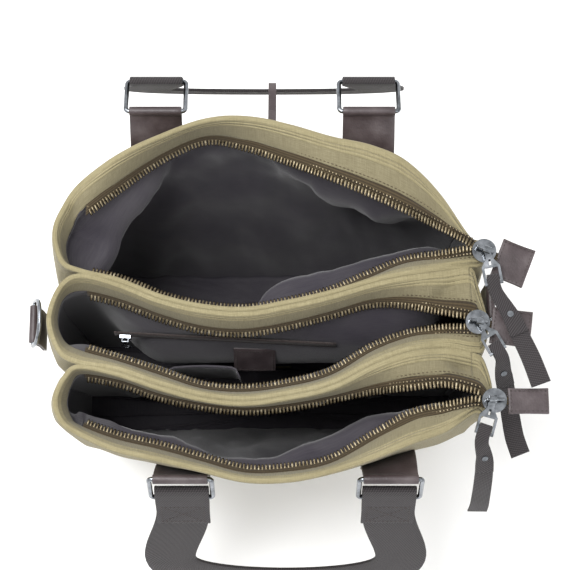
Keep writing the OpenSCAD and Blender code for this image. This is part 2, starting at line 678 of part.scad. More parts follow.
// Slip pocket on the front lining of the middle compartment, open at its top.
module slip_pocket() {
    skin = 1.2;
    low = 100;
    high = 188;
    gap = 8;
    lean = (wall_depth(2, -45, high) - wall_depth(2, -45, low));
    foot = -44;
    side_profile = [[foot, low], [foot + gap, low], [foot + gap + lean * 0.45, high],
        [foot + lean * 0.45 - 0.5, high]];
    color(lining_grey) translate([-74, 0, 0]) rotate([90, 0, 90]) {
        linear_extrude(54) polygon([[foot, low - skin], [foot + gap + skin, low - skin],
            [foot + gap + skin + lean * 0.45, high], [foot + gap + lean * 0.45, high],
            [foot + gap, low], [foot, low]]);
        for (x = [0, 54 - skin]) translate([0, 0, x]) linear_extrude(skin) polygon(side_profile);
    }
}

// Zip of the flat pocket on the back panel, its slider and its narrow leather pull.
back_zip_height = 200;
back_slide_spot = [3, 132.6];
module back_zip() {
    half_tape = 6;
    xs = [for (k = [0:11]) -60 + 10 * k];
    inner = [for (dz = [half_tape, 0, -half_tape]) [for (x = xs)
        [x, wall_depth(0, x, back_zip_height + dz) + 0.4, back_zip_height + dz]]];
    outer = [for (row = inner) [for (p = row) p + [0, 1, 0]]];
    color(tape_brown) slab(inner, outer);
}
module at_back_slide() {
    translate([back_slide_spot[0], back_slide_spot[1], back_zip_height]) children();
}
module back_slider() {
    color(nickel) at_back_slide() {
        translate([-4.5, 0, -3.5]) cube([9, 2.4, 7]);
        for (x = [-2.8, 2.8]) translate([x, 2, 0]) rotate([-90, 0, 0]) cylinder(r = 0.8, h = 3);
        translate([-2.8, 5, 0]) rotate([0, 90, 0]) cylinder(r = 0.8, h = 5.6);
        for (x = [-2.8, 2.8]) translate([x, 5, 0]) sphere(r = 0.8);
    }
}
module back_pull() {
    dip = 24;
    long = 46;
    color(leather) at_back_slide() translate([0, 5, 0]) rotate([-dip, 0, 0]) {
        difference() {
            translate([-1.6, 0, 0]) rotate([0, 90, 0]) cylinder(r = 2.2, h = 3.2);
            translate([-2, 0, 0]) rotate([0, 90, 0]) cylinder(r = 0.8 + loop_clearance, h = 4);
        }
        translate([-1.6, 1.6, -1]) cube([3.2, 8, 2]);
        translate([-3, 8, -1]) cube([6, long - 8, 2]);
    }
}

base_panel();
back_panel();
front_panel();
divider_rear();
divider_front();
gusset_left();
gusset_right();
lining(BACK);  // lining_back
lining(MID);  // lining_mid
lining(FRONT);  // lining_front
facing(BACK, false);  // facing_back_rear
facing(BACK, true);  // facing_back_front
facing(MID, false);  // facing_mid_rear
facing(MID, true);  // facing_mid_front
facing(FRONT, false);  // facing_front_rear
facing(FRONT, true);  // facing_front_front
zip_tape(BACK);  // zip_tape_back
zip_tape(MID);  // zip_tape_mid
zip_tape(FRONT);  // zip_tape_front
zip_teeth(BACK);  // zip_teeth_back
zip_teeth(MID);  // zip_teeth_mid
zip_teeth(FRONT);  // zip_teeth_front
zip_tail(BACK);  // zip_tail_back
zip_tail(MID);  // zip_tail_mid
zip_tail(FRONT);  // zip_tail_front
slider(BACK);  // slider_back
slider(MID);  // slider_mid
slider(FRONT);  // slider_front
puller(BACK);  // puller_back
puller(MID);  // puller_mid
puller(FRONT);  // puller_front
pull_strip(BACK);  // pull_strip_back
pull_strip(MID);  // pull_strip_mid
pull_strip(FRONT);  // pull_strip_front
pull_rivet(BACK);  // pull_rivet_back
pull_rivet(MID);  // pull_rivet_mid
pull_rivet(FRONT);  // pull_rivet_front
handle_tab(ring_spots_front[0], FRONT_SIDE);  // handle_tab_front_left
handle_tab(ring_spots_front[1], FRONT_SIDE);  // handle_tab_front_right
handle_tab(ring_spots_rear[0], REAR_SIDE);  // handle_tab_rear_left
handle_tab(ring_spots_rear[1], REAR_SIDE);  // handle_tab_rear_right
ring(ring_spots_front[0], FRONT_SIDE);  // ring_front_left
ring(ring_spots_front[1], FRONT_SIDE);  // ring_front_right
ring(ring_spots_rear[0], REAR_SIDE);  // ring_rear_left
ring(ring_spots_rear[1], REAR_SIDE);  // ring_rear_right
handle(ring_spots_front, FRONT_SIDE);  // handle_front
handle(ring_spots_rear, REAR_SIDE);  // handle_rear
d_tab(d_left_hinge, -1, -163.8);  // d_tab_left
d_tab(d_right_hinge, 1, 157.8);  // d_tab_right
d_ring(d_left_hinge, d_left_lean);  // d_ring_left
d_ring(d_right_hinge, d_right_lean);  // d_ring_right
inner_zip();
inner_slider();
inner_puller();
label_patch();
slip_pocket();
back_zip();
back_slider();
back_pull();
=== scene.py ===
"""Canvas bag with three open zip mouths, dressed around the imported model."""

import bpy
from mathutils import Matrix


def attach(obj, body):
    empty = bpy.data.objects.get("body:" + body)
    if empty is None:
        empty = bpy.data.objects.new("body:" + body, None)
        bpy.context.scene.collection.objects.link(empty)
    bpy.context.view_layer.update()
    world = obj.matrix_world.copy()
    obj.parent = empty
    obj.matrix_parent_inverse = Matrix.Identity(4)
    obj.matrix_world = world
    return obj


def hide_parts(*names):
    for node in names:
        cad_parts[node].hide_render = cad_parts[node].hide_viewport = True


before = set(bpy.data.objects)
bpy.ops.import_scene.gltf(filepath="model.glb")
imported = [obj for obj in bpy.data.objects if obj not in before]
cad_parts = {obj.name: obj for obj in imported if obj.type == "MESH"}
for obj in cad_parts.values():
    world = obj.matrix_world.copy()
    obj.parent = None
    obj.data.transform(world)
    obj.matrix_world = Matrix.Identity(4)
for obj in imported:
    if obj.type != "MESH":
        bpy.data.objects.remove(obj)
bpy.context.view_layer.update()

import math
import bpy
import numpy as np
from mathutils import Vector, noise

MM = 0.001
BACK, MID, FRONT = 0, 1, 2
NAMES = ["back", "mid", "front"]

# Outlines, in millimetres: stations along the bag and the depth of each rim and teeth line.
STATIONS = [-132, -105, -75, -45, -15, 15, 45, 75, 100, 124, 144]
RIM_LINES = [[88, 106, 120, 131, 133, 127, 118, 111, 99, 77, 48],
             [20, 13, 1, -6, -8, -3, 4, 13, 18, 22, 25],
             [-45, -50, -60, -68, -71, -67, -60, -45, -36, -33, -36],
             [-94, -106, -113, -120, -127, -127, -121, -111, -101, -92, -79]]
REAR_TEETH = [[60, 86, 110, 123, 116, 103, 88, 75, 63, 54, 42],
              [8, 2, -9, -18, -20, -15, -7, 1, -1, -8, -12],
              [-50, -54, -64, -70, -73, -71, -66, -62, -61, -59, -64]]
FRONT_TEETH = [[24, 17, 5, -2, -4, 1, 9, 23, 34, 35, 36],
               [-29, -38, -48, -58, -60, -56, -48, -30, -20, -18, -19],
               [-83, -93, -100, -109, -117, -116, -110, -92, -78, -73, -72]]
# Ends of each mouth in plan: the rim's, then the teeth lines'.
LEFT_RIM = [[[-146, 71], [-153, 50], [-147, 28]], [[-147, 12], [-155, -12], [-147, -36]],
            [[-143, -54], [-149, -70], [-144, -85]]]
RIGHT_RIM = [[[151, 26], [156, 34], [152, 44]], [[152, -34], [155, -14], [149, 12]],
             [[151, -80], [157, -64], [152, -42]]]
LEFT_INNER = [[[-140, 52], [-144, 41], [-141, 30]], [[-146, 4], [-149, -10], [-144, -22]],
              [[-138, -58], [-139, -68], [-137, -77]]]
RIGHT_INNER = [[[149, 34], [154, 35], [149, 38]], [[148, -18], [152, -16], [148, -13]],
               [[150, -74], [154, -71], [150, -68]]]
# Of the four walls from rear to front: height of the rim, width of its facing, depth and corner at the base.
RIM_HEIGHTS = [240, 232, 232, 236]
FACING_WIDTHS = [28, 24, 24, 26]
BASE_LINES = [70, 8, -34, -70]
CORNER_CUT = [14, 0, 0, 14]
LEFT_END, RIGHT_END, ZIP_HEIGHT, RIM_HALF = 229, 226.5, 232, 152
BASE_LENGTH, BASE_THICKNESS, BULGE, SIDE_SWELL, TAPE_SHARE = 310, 3, 11, 0.7, 8 / 28
# A mouth's outline has 28 points: the last ones of its rear side, left end and front side, and their columns.
REAR_LAST, LEFT_LAST, FRONT_LAST, POINTS, STEPS = 10, 13, 24, 28, 8
REAR_TO, LEFT_TO, FRONT_TO, LOOP = [k * STEPS for k in (REAR_LAST, LEFT_LAST + 1, FRONT_LAST, POINTS)]


# ---- small maths
def mix(a, b, t):
    return a + (b - a) * t


def ease(t):
    s = min(max(t, 0), 1)
    return s * s * (3 - 2 * s)


def unit_rows(v):
    return v / np.maximum(np.linalg.norm(v, axis=-1, keepdims=True), 1e-9)


def curve_point(a, b, c, d, t):
    return 0.5 * (2 * b + (c - a) * t + (2 * a - 5 * b + 4 * c - d) * t * t
                  + (3 * b - a - 3 * c + d) * t ** 3)


def round_loop(points):
    p = np.array(points, float)
    n = len(p)
    return np.array([curve_point(p[i - 1], p[i], p[(i + 1) % n], p[(i + 2) % n], s / STEPS)
                     for i in range(n) for s in range(STEPS)])


def straight_loop(points):
    p = np.array(points, float)
    n = len(p)
    return np.array([mix(p[i], p[(i + 1) % n], s / STEPS) for i in range(n) for s in range(STEPS)])


def round_path(points, steps=8):
    p = np.array(points, float)
    n = len(p) - 1
    out = [curve_point(p[max(i - 1, 0)], p[i], p[i + 1], p[min(i + 2, n)], k / steps)
           for i in range(n) for k in range(steps)]
    return np.array(out + [p[n]])


# ---- outlines of the three mouths
def rim_z(line, x):
    middle = mix(RIM_HEIGHTS[line], LEFT_END, ease((-x - 90) / 60))
    return mix(middle, RIGHT_END, ease((x - 95) / 45))


def rim_side(line):
    return [[x, y, rim_z(line, x)] for x, y in zip(STATIONS, RIM_LINES[line])]


def rim_loop(c):
    left = [[x, y, LEFT_END - 1] for x, y in LEFT_RIM[c]]
    right = [[x, y, RIGHT_END - 0.5] for x, y in RIGHT_RIM[c]]
    return rim_side(c)[::-1] + left + rim_side(c + 1) + right


def edge_point(line, rim, p):
    reach = math.hypot(rim[0] - p[0], rim[1] - p[1])
    hung = rim[2] - math.sqrt(max(FACING_WIDTHS[line] ** 2 - reach ** 2, 9))
    return [p[0], p[1], mix(hung, ZIP_HEIGHT, ease((p[0] - 100) / 40))]


def edge_side(line, depths):
    return [edge_point(line, [x, r, rim_z(line, x)], [x, y])
            for x, r, y in zip(STATIONS, RIM_LINES[line], depths)]


def edge_loop(c):
    left = [edge_point(c, r + [LEFT_END], p) for r, p in zip(LEFT_RIM[c], LEFT_INNER[c])]
    right = [[x, y, ZIP_HEIGHT] for x, y in RIGHT_INNER[c]]
    return edge_side(c, REAR_TEETH[c])[::-1] + left + edge_side(c + 1, FRONT_TEETH[c]) + right


def sewn_loop(c):
    return mix(np.array(edge_loop(c), float), np.array(rim_loop(c), float), TAPE_SHARE)


def foot_side(line):
    return [[x * BASE_LENGTH / 2 / RIM_HALF, BASE_LINES[line], BASE_THICKNESS] for x in STATIONS]


def foot_end(x, a, b):
    sign = -1 if a < b else 1
    ya, yb = BASE_LINES[a] + sign * CORNER_CUT[a], BASE_LINES[b] - sign * CORNER_CUT[b]
    return [[x, y, BASE_THICKNESS] for y in (ya, (BASE_LINES[a] + BASE_LINES[b]) / 2, yb)]


def foot_loop(c):
    left, right = foot_end(-BASE_LENGTH / 2, c, c + 1), foot_end(BASE_LENGTH / 2, c + 1, c)
    return foot_side(c)[::-1] + left + foot_side(c + 1) + right


def push(c, i):
    """Swell of outline point i of a wall, none where two compartments are sewn together."""
    if i <= REAR_LAST:
        return [0, BULGE, 0] if c == BACK else [0, 0, 0]
    if i <= LEFT_LAST:
        return [-SIDE_SWELL * BULGE, 0, 0]
    if i <= FRONT_LAST:
        return [0, -SIDE_SWELL * BULGE, 0] if c == FRONT else [0, 0, 0]
    return [BULGE / 4, 0, 0]


def swell_at(v):
    """Share of the swell at height v of a wall, both as shares."""
    return math.sin(math.pi * v ** 1.5)


def inward(row):
    step = unit_rows((np.roll(row, -1, axis=0) - np.roll(row, 1, axis=0)) * [1, 1, 0])
    return np.stack([-step[:, 1], step[:, 0], 0 * step[:, 0]], axis=1)


def inset(row, d):
    return row + inward(row) * d


def wall_row(c, v):
    swell = straight_loop([push(c, i) for i in range(POINTS)])
    return mix(straight_loop(foot_loop(c)), round_loop(rim_loop(c)), v) + swell * swell_at(v)


def rim_depth(line, x):
    return float(np.interp(x, STATIONS, RIM_LINES[line]))


def wall_depth(line, x, z):
    top = rim_z(line, x)
    v = (z - BASE_THICKNESS) / (top - BASE_THICKNESS)
    swell = BULGE if line == 0 else -SIDE_SWELL * BULGE
    return mix(BASE_LINES[line], rim_depth(line, x), v) + swell * swell_at(v)


# ---- meshes
def put(name, data):
    obj = bpy.data.objects.new(name, data)
    bpy.context.scene.collection.objects.link(obj)
    return obj


def new_object(name, verts, faces, material, uvs=None):
    mesh = bpy.data.meshes.new(name)
    mesh.from_pydata([tuple(v) for v in np.asarray(verts) * MM], [], faces)
    if uvs is not None:
        layer = mesh.uv_layers.new(name="weave")
        flat_uvs = np.asarray(uvs)
        values = [flat_uvs[i] for face in faces for i in face]
        layer.data.foreach_set("uv", np.array(values).ravel())
    mesh.polygons.foreach_set("use_smooth", [True] * len(mesh.polygons))
    mesh.materials.append(material)
    mesh.update()
    return put(name, mesh)


def grid_uvs(rows):
    """Places on the flat cloth in millimetres, for the weaves."""
    along = np.linalg.norm(np.diff(rows, axis=1), axis=2)
    u = np.concatenate([np.zeros((len(rows), 1)), np.cumsum(along, axis=1)], axis=1)
    u = np.tile(u.mean(axis=0), (len(rows), 1))
    across = np.linalg.norm(np.diff(rows, axis=0), axis=2).mean(axis=1)
    v = np.concatenate([[0], np.cumsum(across)])[:, None] + np.zeros(rows.shape[:2])
    return np.stack([u, v], axis=2)


def sheet_mesh(name, rows, material, thickness=0.0, skin=False):
    """Sheet of rows x columns points, thickened about its middle or, as a skin, on its inner side only."""
    rows = np.asarray(rows, float)
    r, n = rows.shape[:2]
    faces = [[j * n + i, j * n + i + 1, (j + 1) * n + i + 1, (j + 1) * n + i]
             for j in range(r - 1) for i in range(n - 1)]
    if skin:
        faces = [face[::-1] for face in faces]
    obj = new_object(name, rows.reshape(-1, 3), faces, material, grid_uvs(rows).reshape(-1, 2))
    if thickness:
        solid = obj.modifiers.new("thick", "SOLIDIFY")
        solid.thickness, solid.offset = thickness * MM, -1.0 if skin else 0.0
        solid.use_even_offset = False
    return obj


def close_rows(rows):
    return np.concatenate([rows, rows[:, :1]], axis=1)


def join_meshes(name, parts, material):
    """One object from a list of (vertices, faces)."""
    verts, faces, base = [], [], 0
    for points, polys in parts:
        verts.append(np.asarray(points, float))
        faces += [[base + k for k in poly] for poly in polys]
        base += len(points)
    return new_object(name, np.concatenate(verts), faces, material)


def frames_along(path, ups):
    along = unit_rows(np.gradient(path, axis=0))
    across = unit_rows(np.cross(along, ups))
    return along, across, unit_rows(np.cross(across, along))


def interp_rows(stops, places, rows):
    return np.stack([np.interp(stops, places, rows[:, k]) for k in range(3)], axis=1)


def reach_along(path):
    return np.concatenate([[0], np.cumsum(np.linalg.norm(np.diff(path, axis=0), axis=1))])


def resample(path, pitch):
    reach = reach_along(path)
    count = max(int(reach[-1] / pitch), 2)
    return interp_rows(np.linspace(0, reach[-1], count + 1), reach, path)


def tube_faces(rings, count):
    faces = []
    for j in range(rings - 1):
        for i in range(count):
            a, b = j * count + i, j * count + (i + 1) % count
            faces.append([a, b, b + count, a + count])
    faces += [list(range(count))[::-1], [(rings - 1) * count + i for i in range(count)]]
    return faces


def tube_part(path, ups, width, height, count=8, taper=None):
    """Rounded tube section swept along a path, as (vertices, faces)."""
    _, across, up = frames_along(path, ups)
    turns = np.arange(count) * 2 * math.pi / count
    size = (np.ones(len(path)) if taper is None else taper)[:, None, None]
    side = across[:, None] * (np.cos(turns) * width / 2)[None, :, None] * size
    points = path[:, None] + side + up[:, None] * (np.sin(turns) * height / 2)[None, :, None] * size
    return points.reshape(-1, 3), tube_faces(len(path), count)


STITCH_TAPER = np.array([0.35, 0.9, 1, 0.9, 0.35])


def stitches(path, ups, pitch=3.4, length=2.3, width=0.65, height=0.55, lift=0.15):
    """Row of short threads lying on a path, each thinner and lower at both ends."""
    spots = resample(path, pitch)
    up_rows = interp_rows(np.linspace(0, 1, len(spots)), np.linspace(0, 1, len(path)), ups)
    along, _, up = frames_along(spots, up_rows)
    parts = []
    for p, a, u in zip(spots, along, up):
        thread = [p + a * (k * length / 2) + u * (lift - 0.35 * abs(k)) for k in (-1, -0.5, 0, 0.5, 1)]
        parts.append(tube_part(np.array(thread), np.tile(u, (5, 1)), width, height, 6, STITCH_TAPER))
    return parts


def box_corners(x0, x1, y0, y1):
    return [(x0, y0), (x1, y0), (x1, y1), (x0, y1)]


def stitched_box(corners, place, up, count, pitch, length, crossed=False):
    """Stitches round a box whose corners are in a piece's own frame, and on its diagonals where crossed."""
    lines = list(zip(corners, corners[1:] + corners[:1]))
    if crossed:
        lines += [(corners[0], corners[2]), (corners[1], corners[3])]
    parts = []
    for a, b in lines:
        path = np.array([mix(np.array(a, float), np.array(b, float), t) for t in np.linspace(0, 1, count)])
        parts += stitches(place(path), np.tile(up, (count, 1)), pitch, length)
    return parts


TOOTH_PROFILE = [(-1, -0.7), (-0.7, -1), (0.7, -1), (1, -0.7), (1, 0.7), (0.7, 1), (-0.7, 1), (-1, 0.7)]
TOOTH_SECTIONS = [(-0.5, 0.9), (-0.35, 1), (0.25, 1), (0.4, 0.8), (0.5, 0.55)]


def tooth_part(spot, along, across, up, wide, deep, tall):
    """One zip tooth: a rounded bar across the tape with a narrower nose."""
    points = []
    for reach, size in TOOTH_SECTIONS:
        for a, u in TOOTH_PROFILE:
            rim = along * a * wide * size / 2 + up * u * tall * size / 2
            points.append(spot + across * reach * deep + rim)
    return np.array(points), tube_faces(len(TOOTH_SECTIONS), len(TOOTH_PROFILE))


def dress(obj, body="bag", nodes=()):
    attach(obj, body)
    if nodes:
        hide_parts(*nodes)
    return obj


def bevel_edges(obj, width):
    mod = obj.modifiers.new("edges", "BEVEL")
    mod.width = width * MM
    mod.segments = 2
    mod.limit_method = "ANGLE"
    mod.angle_limit = math.radians(50)


def sheet_piece(name, rows, material, thickness, nodes, body="bag", bevel=0.0):
    """Sheet thickened about its middle, with its edges bevelled where asked for."""
    obj = sheet_mesh(name, rows, material, thickness)
    if bevel:
        bevel_edges(obj, bevel)
    dress(obj, body, nodes)


def joined_piece(name, parts, material, nodes=(), body="bag"):
    dress(join_meshes(name, parts, material), body, nodes)


# ---- materials
TINT = 0.72  # every colour is darkened by this share, to suit the bright studio


class Nodes:
    """Small helper that builds one procedural material."""

    def __init__(self, title, colour, roughness, metallic=0.0, sheen=0.0, specular=0.5):
        self.material = bpy.data.materials.new(title)
        self.material.use_nodes = True
        self.tree = self.material.node_tree
        self.shader = self.tree.nodes["Principled BSDF"]
        values = {"Base Color": (*colour, 1), "Roughness": roughness, "Metallic": metallic,
                  "Sheen Weight": sheen, "Sheen Roughness": 0.5, "Specular IOR Level": specular}
        for name, value in values.items():
            self.shader.inputs[name].default_value = value
        self.height = None

    def node(self, kind, inputs=(), **values):
        made = self.tree.nodes.new(kind)
        for key, value in values.items():
            setattr(made, key, value)
        for key, value in dict(inputs).items():
            made.inputs[key].default_value = value
        return made

    def link(self, a, b):
        self.tree.links.new(a, b)

    def weave_coords(self):
        return self.node("ShaderNodeUVMap", uv_map="weave").outputs["UV"]

    def object_coords(self):
        return self.node("ShaderNodeTexCoord").outputs["Object"]

    def scaled(self, coords, scale, turn=0.0):
        made = self.node("ShaderNodeMapping", {"Scale": scale, "Rotation": (0, 0, turn)})
        self.link(coords, made.inputs["Vector"])
        return made.outputs["Vector"]

    def noise(self, coords, scale, detail=3.0):
        made = self.node("ShaderNodeTexNoise", {"Scale": scale, "Detail": detail, "Roughness": 0.55})
        self.link(coords, made.inputs["Vector"])
        return made.outputs["Fac"]

    def wave(self, coords, direction, scale, distortion):
        made = self.node("ShaderNodeTexWave", {"Scale": scale, "Distortion": distortion, "Detail Scale": 1.5},
                         bands_direction=direction)
        self.link(coords, made.inputs["Vector"])
        return made.outputs["Fac"]

    def math(self, kind, a, b):
        made = self.node("ShaderNodeMath", operation=kind)
        for socket, value in zip(made.inputs, (a, b)):
            if isinstance(value, (int, float)):
                socket.default_value = value
            else:
                self.link(value, socket)
        return made.outputs["Value"]

    def paint(self, value, stops):
        """Colours the material by a value, from stops of a place and a colour."""
        made = self.node("ShaderNodeValToRGB")
        ramp = made.color_ramp
        while len(ramp.elements) < len(stops):
            ramp.elements.new(0.5)
        for element, (place, colour) in zip(ramp.elements, stops):
            element.position = place
            element.color = (*(channel * TINT for channel in colour), 1)
        self.link(value, made.inputs["Fac"])
        self.link(made.outputs["Color"], self.shader.inputs["Base Color"])

    def rough(self, value, low, high):
        made = self.node("ShaderNodeMapRange", {"To Min": low, "To Max": high})
        self.link(value, made.inputs["Value"])
        self.link(made.outputs["Result"], self.shader.inputs["Roughness"])

    def bump(self, height, distance, strength):
        made = self.node("ShaderNodeBump", {"Distance": distance * MM, "Strength": strength})
        self.link(height, made.inputs["Height"])
        if self.height is not None:
            self.link(self.height, made.inputs["Normal"])
        self.height = made.outputs["Normal"]
        self.link(self.height, self.shader.inputs["Normal"])


def weave_height(m, coords, pitch):
    """Height of a plain weave, the higher of warp and weft. A wave is 2 pi / (20 scale) long."""
    scale = 2 * math.pi / (20 * pitch)
    return m.math("MAXIMUM", m.wave(coords, "X", scale, 0.6), m.wave(coords, "Y", scale, 0.6))


def canvas_material(name="khaki_canvas", base=(0.325, 0.282, 0.160), light=(0.435, 0.384, 0.236),
                    dark=(0.227, 0.193, 0.103)):
    m = Nodes(name, base, 0.88, sheen=0.12, specular=0.25)
    cloth, space = m.weave_coords(), m.object_coords()
    slub = m.noise(m.scaled(cloth, (0.12, 1.9, 1)), 1.0, 2.0)
    cross = m.noise(m.scaled(cloth, (1.9, 0.12, 1)), 1.0, 2.0)
    thread = m.math("MULTIPLY", m.math("ADD", slub, cross), 0.5)
    faded = m.noise(space, 14.0, 3.0)
    tone = m.math("ADD", m.math("MULTIPLY", thread, 0.75), m.math("MULTIPLY", faded, 0.25))
    m.paint(tone, [(0.3, dark), (0.5, base), (0.7, light)])
    m.rough(thread, 0.8, 0.95)
    m.bump(m.noise(space, 45.0, 2.0), 1.2, 0.35)
    m.bump(weave_height(m, cloth, 1.1), 0.28, 0.7)
    return m.material


def lining_material():
    m = Nodes("grey_lining", (0.042, 0.036, 0.046), 0.62, sheen=0.25, specular=0.35)
    cloth, space = m.weave_coords(), m.object_coords()
    faded = m.noise(space, 22.0, 4.0)
    thread = m.noise(m.scaled(cloth, (0.08, 1.6, 1)), 1.0, 2.0)
    tone = m.math("ADD", m.math("MULTIPLY", faded, 0.6), m.math("MULTIPLY", thread, 0.4))
    m.paint(tone, [(0.35, (0.034, 0.029, 0.042)), (0.5, (0.048, 0.042, 0.054)),
                   (0.65, (0.064, 0.058, 0.068))])
    m.rough(faded, 0.5, 0.7)
    m.bump(m.noise(m.scaled(space, (1, 1, 0.5)), 60.0, 3.0), 1.4, 0.3)
    m.bump(weave_height(m, cloth, 0.7), 0.12, 0.5)
    return m.material


def tape_material():
    m = Nodes("zip_tape_weave", (0.06, 0.042, 0.02), 0.85, sheen=0.1, specular=0.25)
    cloth = m.weave_coords()
    rib = m.wave(cloth, "X", 0.35, 0.4)
    lane = m.wave(cloth, "Y", 0.18, 0.2)
    tone = m.math("MULTIPLY", m.math("ADD", rib, lane), 0.5)
    m.paint(tone, [(0.2, (0.03, 0.02, 0.01)), (0.6, (0.07, 0.05, 0.024)),
                   (0.9, (0.11, 0.08, 0.042))])
    m.rough(tone, 0.75, 0.95)
    m.bump(tone, 0.25, 0.8)
    return m.material


def brass_material():
    m = Nodes("antique_brass", (0.36, 0.28, 0.15), 0.36, metallic=1.0)
    space = m.object_coords()
    # Random spots over the brass: the darker colours are wear, and the lightest one is a painted highlight.
    wear_and_painted_highlight = m.noise(space, 400.0, 3.0)
    m.paint(wear_and_painted_highlight, [(0.35, (0.09, 0.07, 0.042)), (0.55, (0.22, 0.18, 0.115)),
                   (0.72, (0.44, 0.385, 0.27))])
    m.rough(wear_and_painted_highlight, 0.28, 0.5)
    m.bump(m.noise(space, 900.0, 2.0), 0.1, 0.4)
    return m.material


def leather_material():
    m = Nodes("brown_leather", (0.10, 0.07, 0.075), 0.42, sheen=0.05, specular=0.5)
    space = m.object_coords()
    grain = m.node("ShaderNodeTexVoronoi", {"Scale": 700.0}, feature="F1")
    m.link(space, grain.inputs["Vector"])
    worn = m.noise(space, 60.0, 4.0)
    m.paint(worn, [(0.32, (0.040, 0.026, 0.028)), (0.52, (0.068, 0.049, 0.052)),
                   (0.72, (0.110, 0.088, 0.090))])
    m.rough(worn, 0.34, 0.55)
    m.bump(m.noise(space, 120.0, 2.0), 0.6, 0.3)
    m.bump(grain.outputs["Distance"], 0.18, 0.5)
    return m.material


def webbing_material():
    m = Nodes("dark_webbing", (0.07, 0.058, 0.055), 0.82, sheen=0.12, specular=0.3)
    cloth = m.weave_coords()
    diagonal = m.wave(m.scaled(cloth, (1, 1, 1), math.radians(35)), "X", 0.21, 0.35)
    cross = m.wave(cloth, "Y", 0.32, 0.3)
    tone = m.math("ADD", m.math("MULTIPLY", diagonal, 0.6), m.math("MULTIPLY", cross, 0.4))
    m.paint(tone, [(0.15, (0.016, 0.013, 0.014)), (0.55, (0.042, 0.036, 0.038)),
                   (0.9, (0.075, 0.067, 0.070))])
    m.rough(tone, 0.7, 0.92)
    m.bump(tone, 0.5, 0.9)
    return m.material


def nickel_material():
    m = Nodes("polished_nickel", (0.68, 0.70, 0.73), 0.16, metallic=1.0)
    space = m.object_coords()
    smear = m.noise(space, 160.0, 4.0)
    m.paint(smear, [(0.3, (0.15, 0.16, 0.175)), (0.5, (0.30, 0.32, 0.345)),
                    (0.75, (0.46, 0.48, 0.52))])
    m.rough(smear, 0.1, 0.3)
    m.bump(m.noise(space, 500.0, 2.0), 0.05, 0.25)
    return m.material


def thread_material(name, colour, light, metallic=0.0):
    m = Nodes(name, colour, 0.7, metallic, sheen=0.1, specular=0.3)
    twist = m.noise(m.object_coords(), 900.0, 2.0)
    m.paint(twist, [(0.3, colour), (0.7, light)])
    m.rough(twist, 0.6, 0.85)
    m.bump(twist, 0.15, 0.6)
    return m.material


CANVAS = canvas_material()
# The facing uses the same canvas in darker colours: painted shade for the inner face of the rim band.
SHADED_CANVAS = canvas_material("khaki_facing_painted_shade", (0.245, 0.214, 0.128), (0.33, 0.292, 0.184),
                                (0.17, 0.145, 0.082))
LINING = lining_material()
TAPE = tape_material()
BRASS = brass_material()
LEATHER = leather_material()
WEBBING = webbing_material()
NICKEL = nickel_material()
KHAKI_THREAD = thread_material("khaki_thread", (0.045, 0.028, 0.014), (0.115, 0.08, 0.04))
DARK_THREAD = thread_material("dark_thread", (0.03, 0.022, 0.022), (0.10, 0.08, 0.075))
DARK_METAL = thread_material("dark_metal", (0.03, 0.03, 0.035), (0.12, 0.12, 0.13), 0.9)


# ---- canvas shell
UP = np.array([0.0, 0.0, 1.0])


def drape(row, v, seed, amount):
    """Soft standing folds in an outer wall, none at the rim and the base."""
    mask = math.sin(math.pi * v) ** 0.8 if 0 < v < 1 else 0.0
    shift = np.array([noise.noise(Vector((p[0] / 46 + seed, p[1] / 46, p[2] / 120))) for p in row])
    ripple = np.array([noise.noise(Vector((p[0] / 17 + seed, p[1] / 17, p[2] / 70))) for p in row])
    return row - inward(row) * ((shift * amount + ripple * amount * 0.3) * mask)[:, None]


# Dents: x, y, radius and depth in millimetres, pressed down into the facings.
DENTS = [(124, 5, 8, 7), (131, 12, 6, 4), (139, -47, 8, 8), (131, -44, 6, 4), (-138, 66, 7, 2.5),
         (-141, -70, 7, 2.5), (70, 9, 16, 1.2), (-40, -84, 22, 1.5), (100, 2, 9, 2.2), (117, -38, 9, 2.4)]


def dented(rows):
    rows = rows.copy()
    for x, y, radius, depth in DENTS:
        far = (rows[..., 0] - x) ** 2 / (radius * 1.6) ** 2 + (rows[..., 1] - y) ** 2 / radius ** 2
        rows[..., 2] -= depth * np.exp(-far * 2)
    wave = np.array([[noise.noise(Vector((p[0] / 21, p[1] / 21, 3.0))) for p in row] for row in rows])
    rows[..., 2] += wave * 0.9
    return rows


# The rolled rim: how far in and how high each of its lines lies. The facing starts at the last of them.
ROLL = [(0.35, 0.0), (0.7, 0.7), (1.5, 1.15), (2.6, 1.2)]
LEVELS, FACING_RISE, FACING_ARCH, HEM = 27, 1.0, 1.6, 6.5
# Across the hem, as a share of it, and how far each line stands up: two stitched grooves and a welt between.
HEM_LINES = [(0.1, 0.25), (0.24, 0.2), (0.34, -0.05), (0.40, -0.55), (0.46, -0.05), (0.6, 0.45),
             (0.72, 0.0), (0.78, -0.55), (0.84, -0.05), (0.93, 0.15), (1.0, -0.1)]
GROOVES = (0.40, 0.78)


def band_rows(c, parts):
    """Rows across the facing, from just inside the rim to the sewn edge of the tape."""
    rim = inset(round_loop(rim_loop(c)), ROLL[-1][0]) + UP * FACING_RISE
    sewn = round_loop(sewn_loop(c))
    return np.array([mix(rim, sewn, t) + UP * (FACING_ARCH * math.sin(math.pi * t)) for t in parts])


def band_share(c):
    rows = band_rows(c, [0, 1])
    return HEM / max(np.median(np.linalg.norm(rows[1] - rows[0], axis=1)), 1)


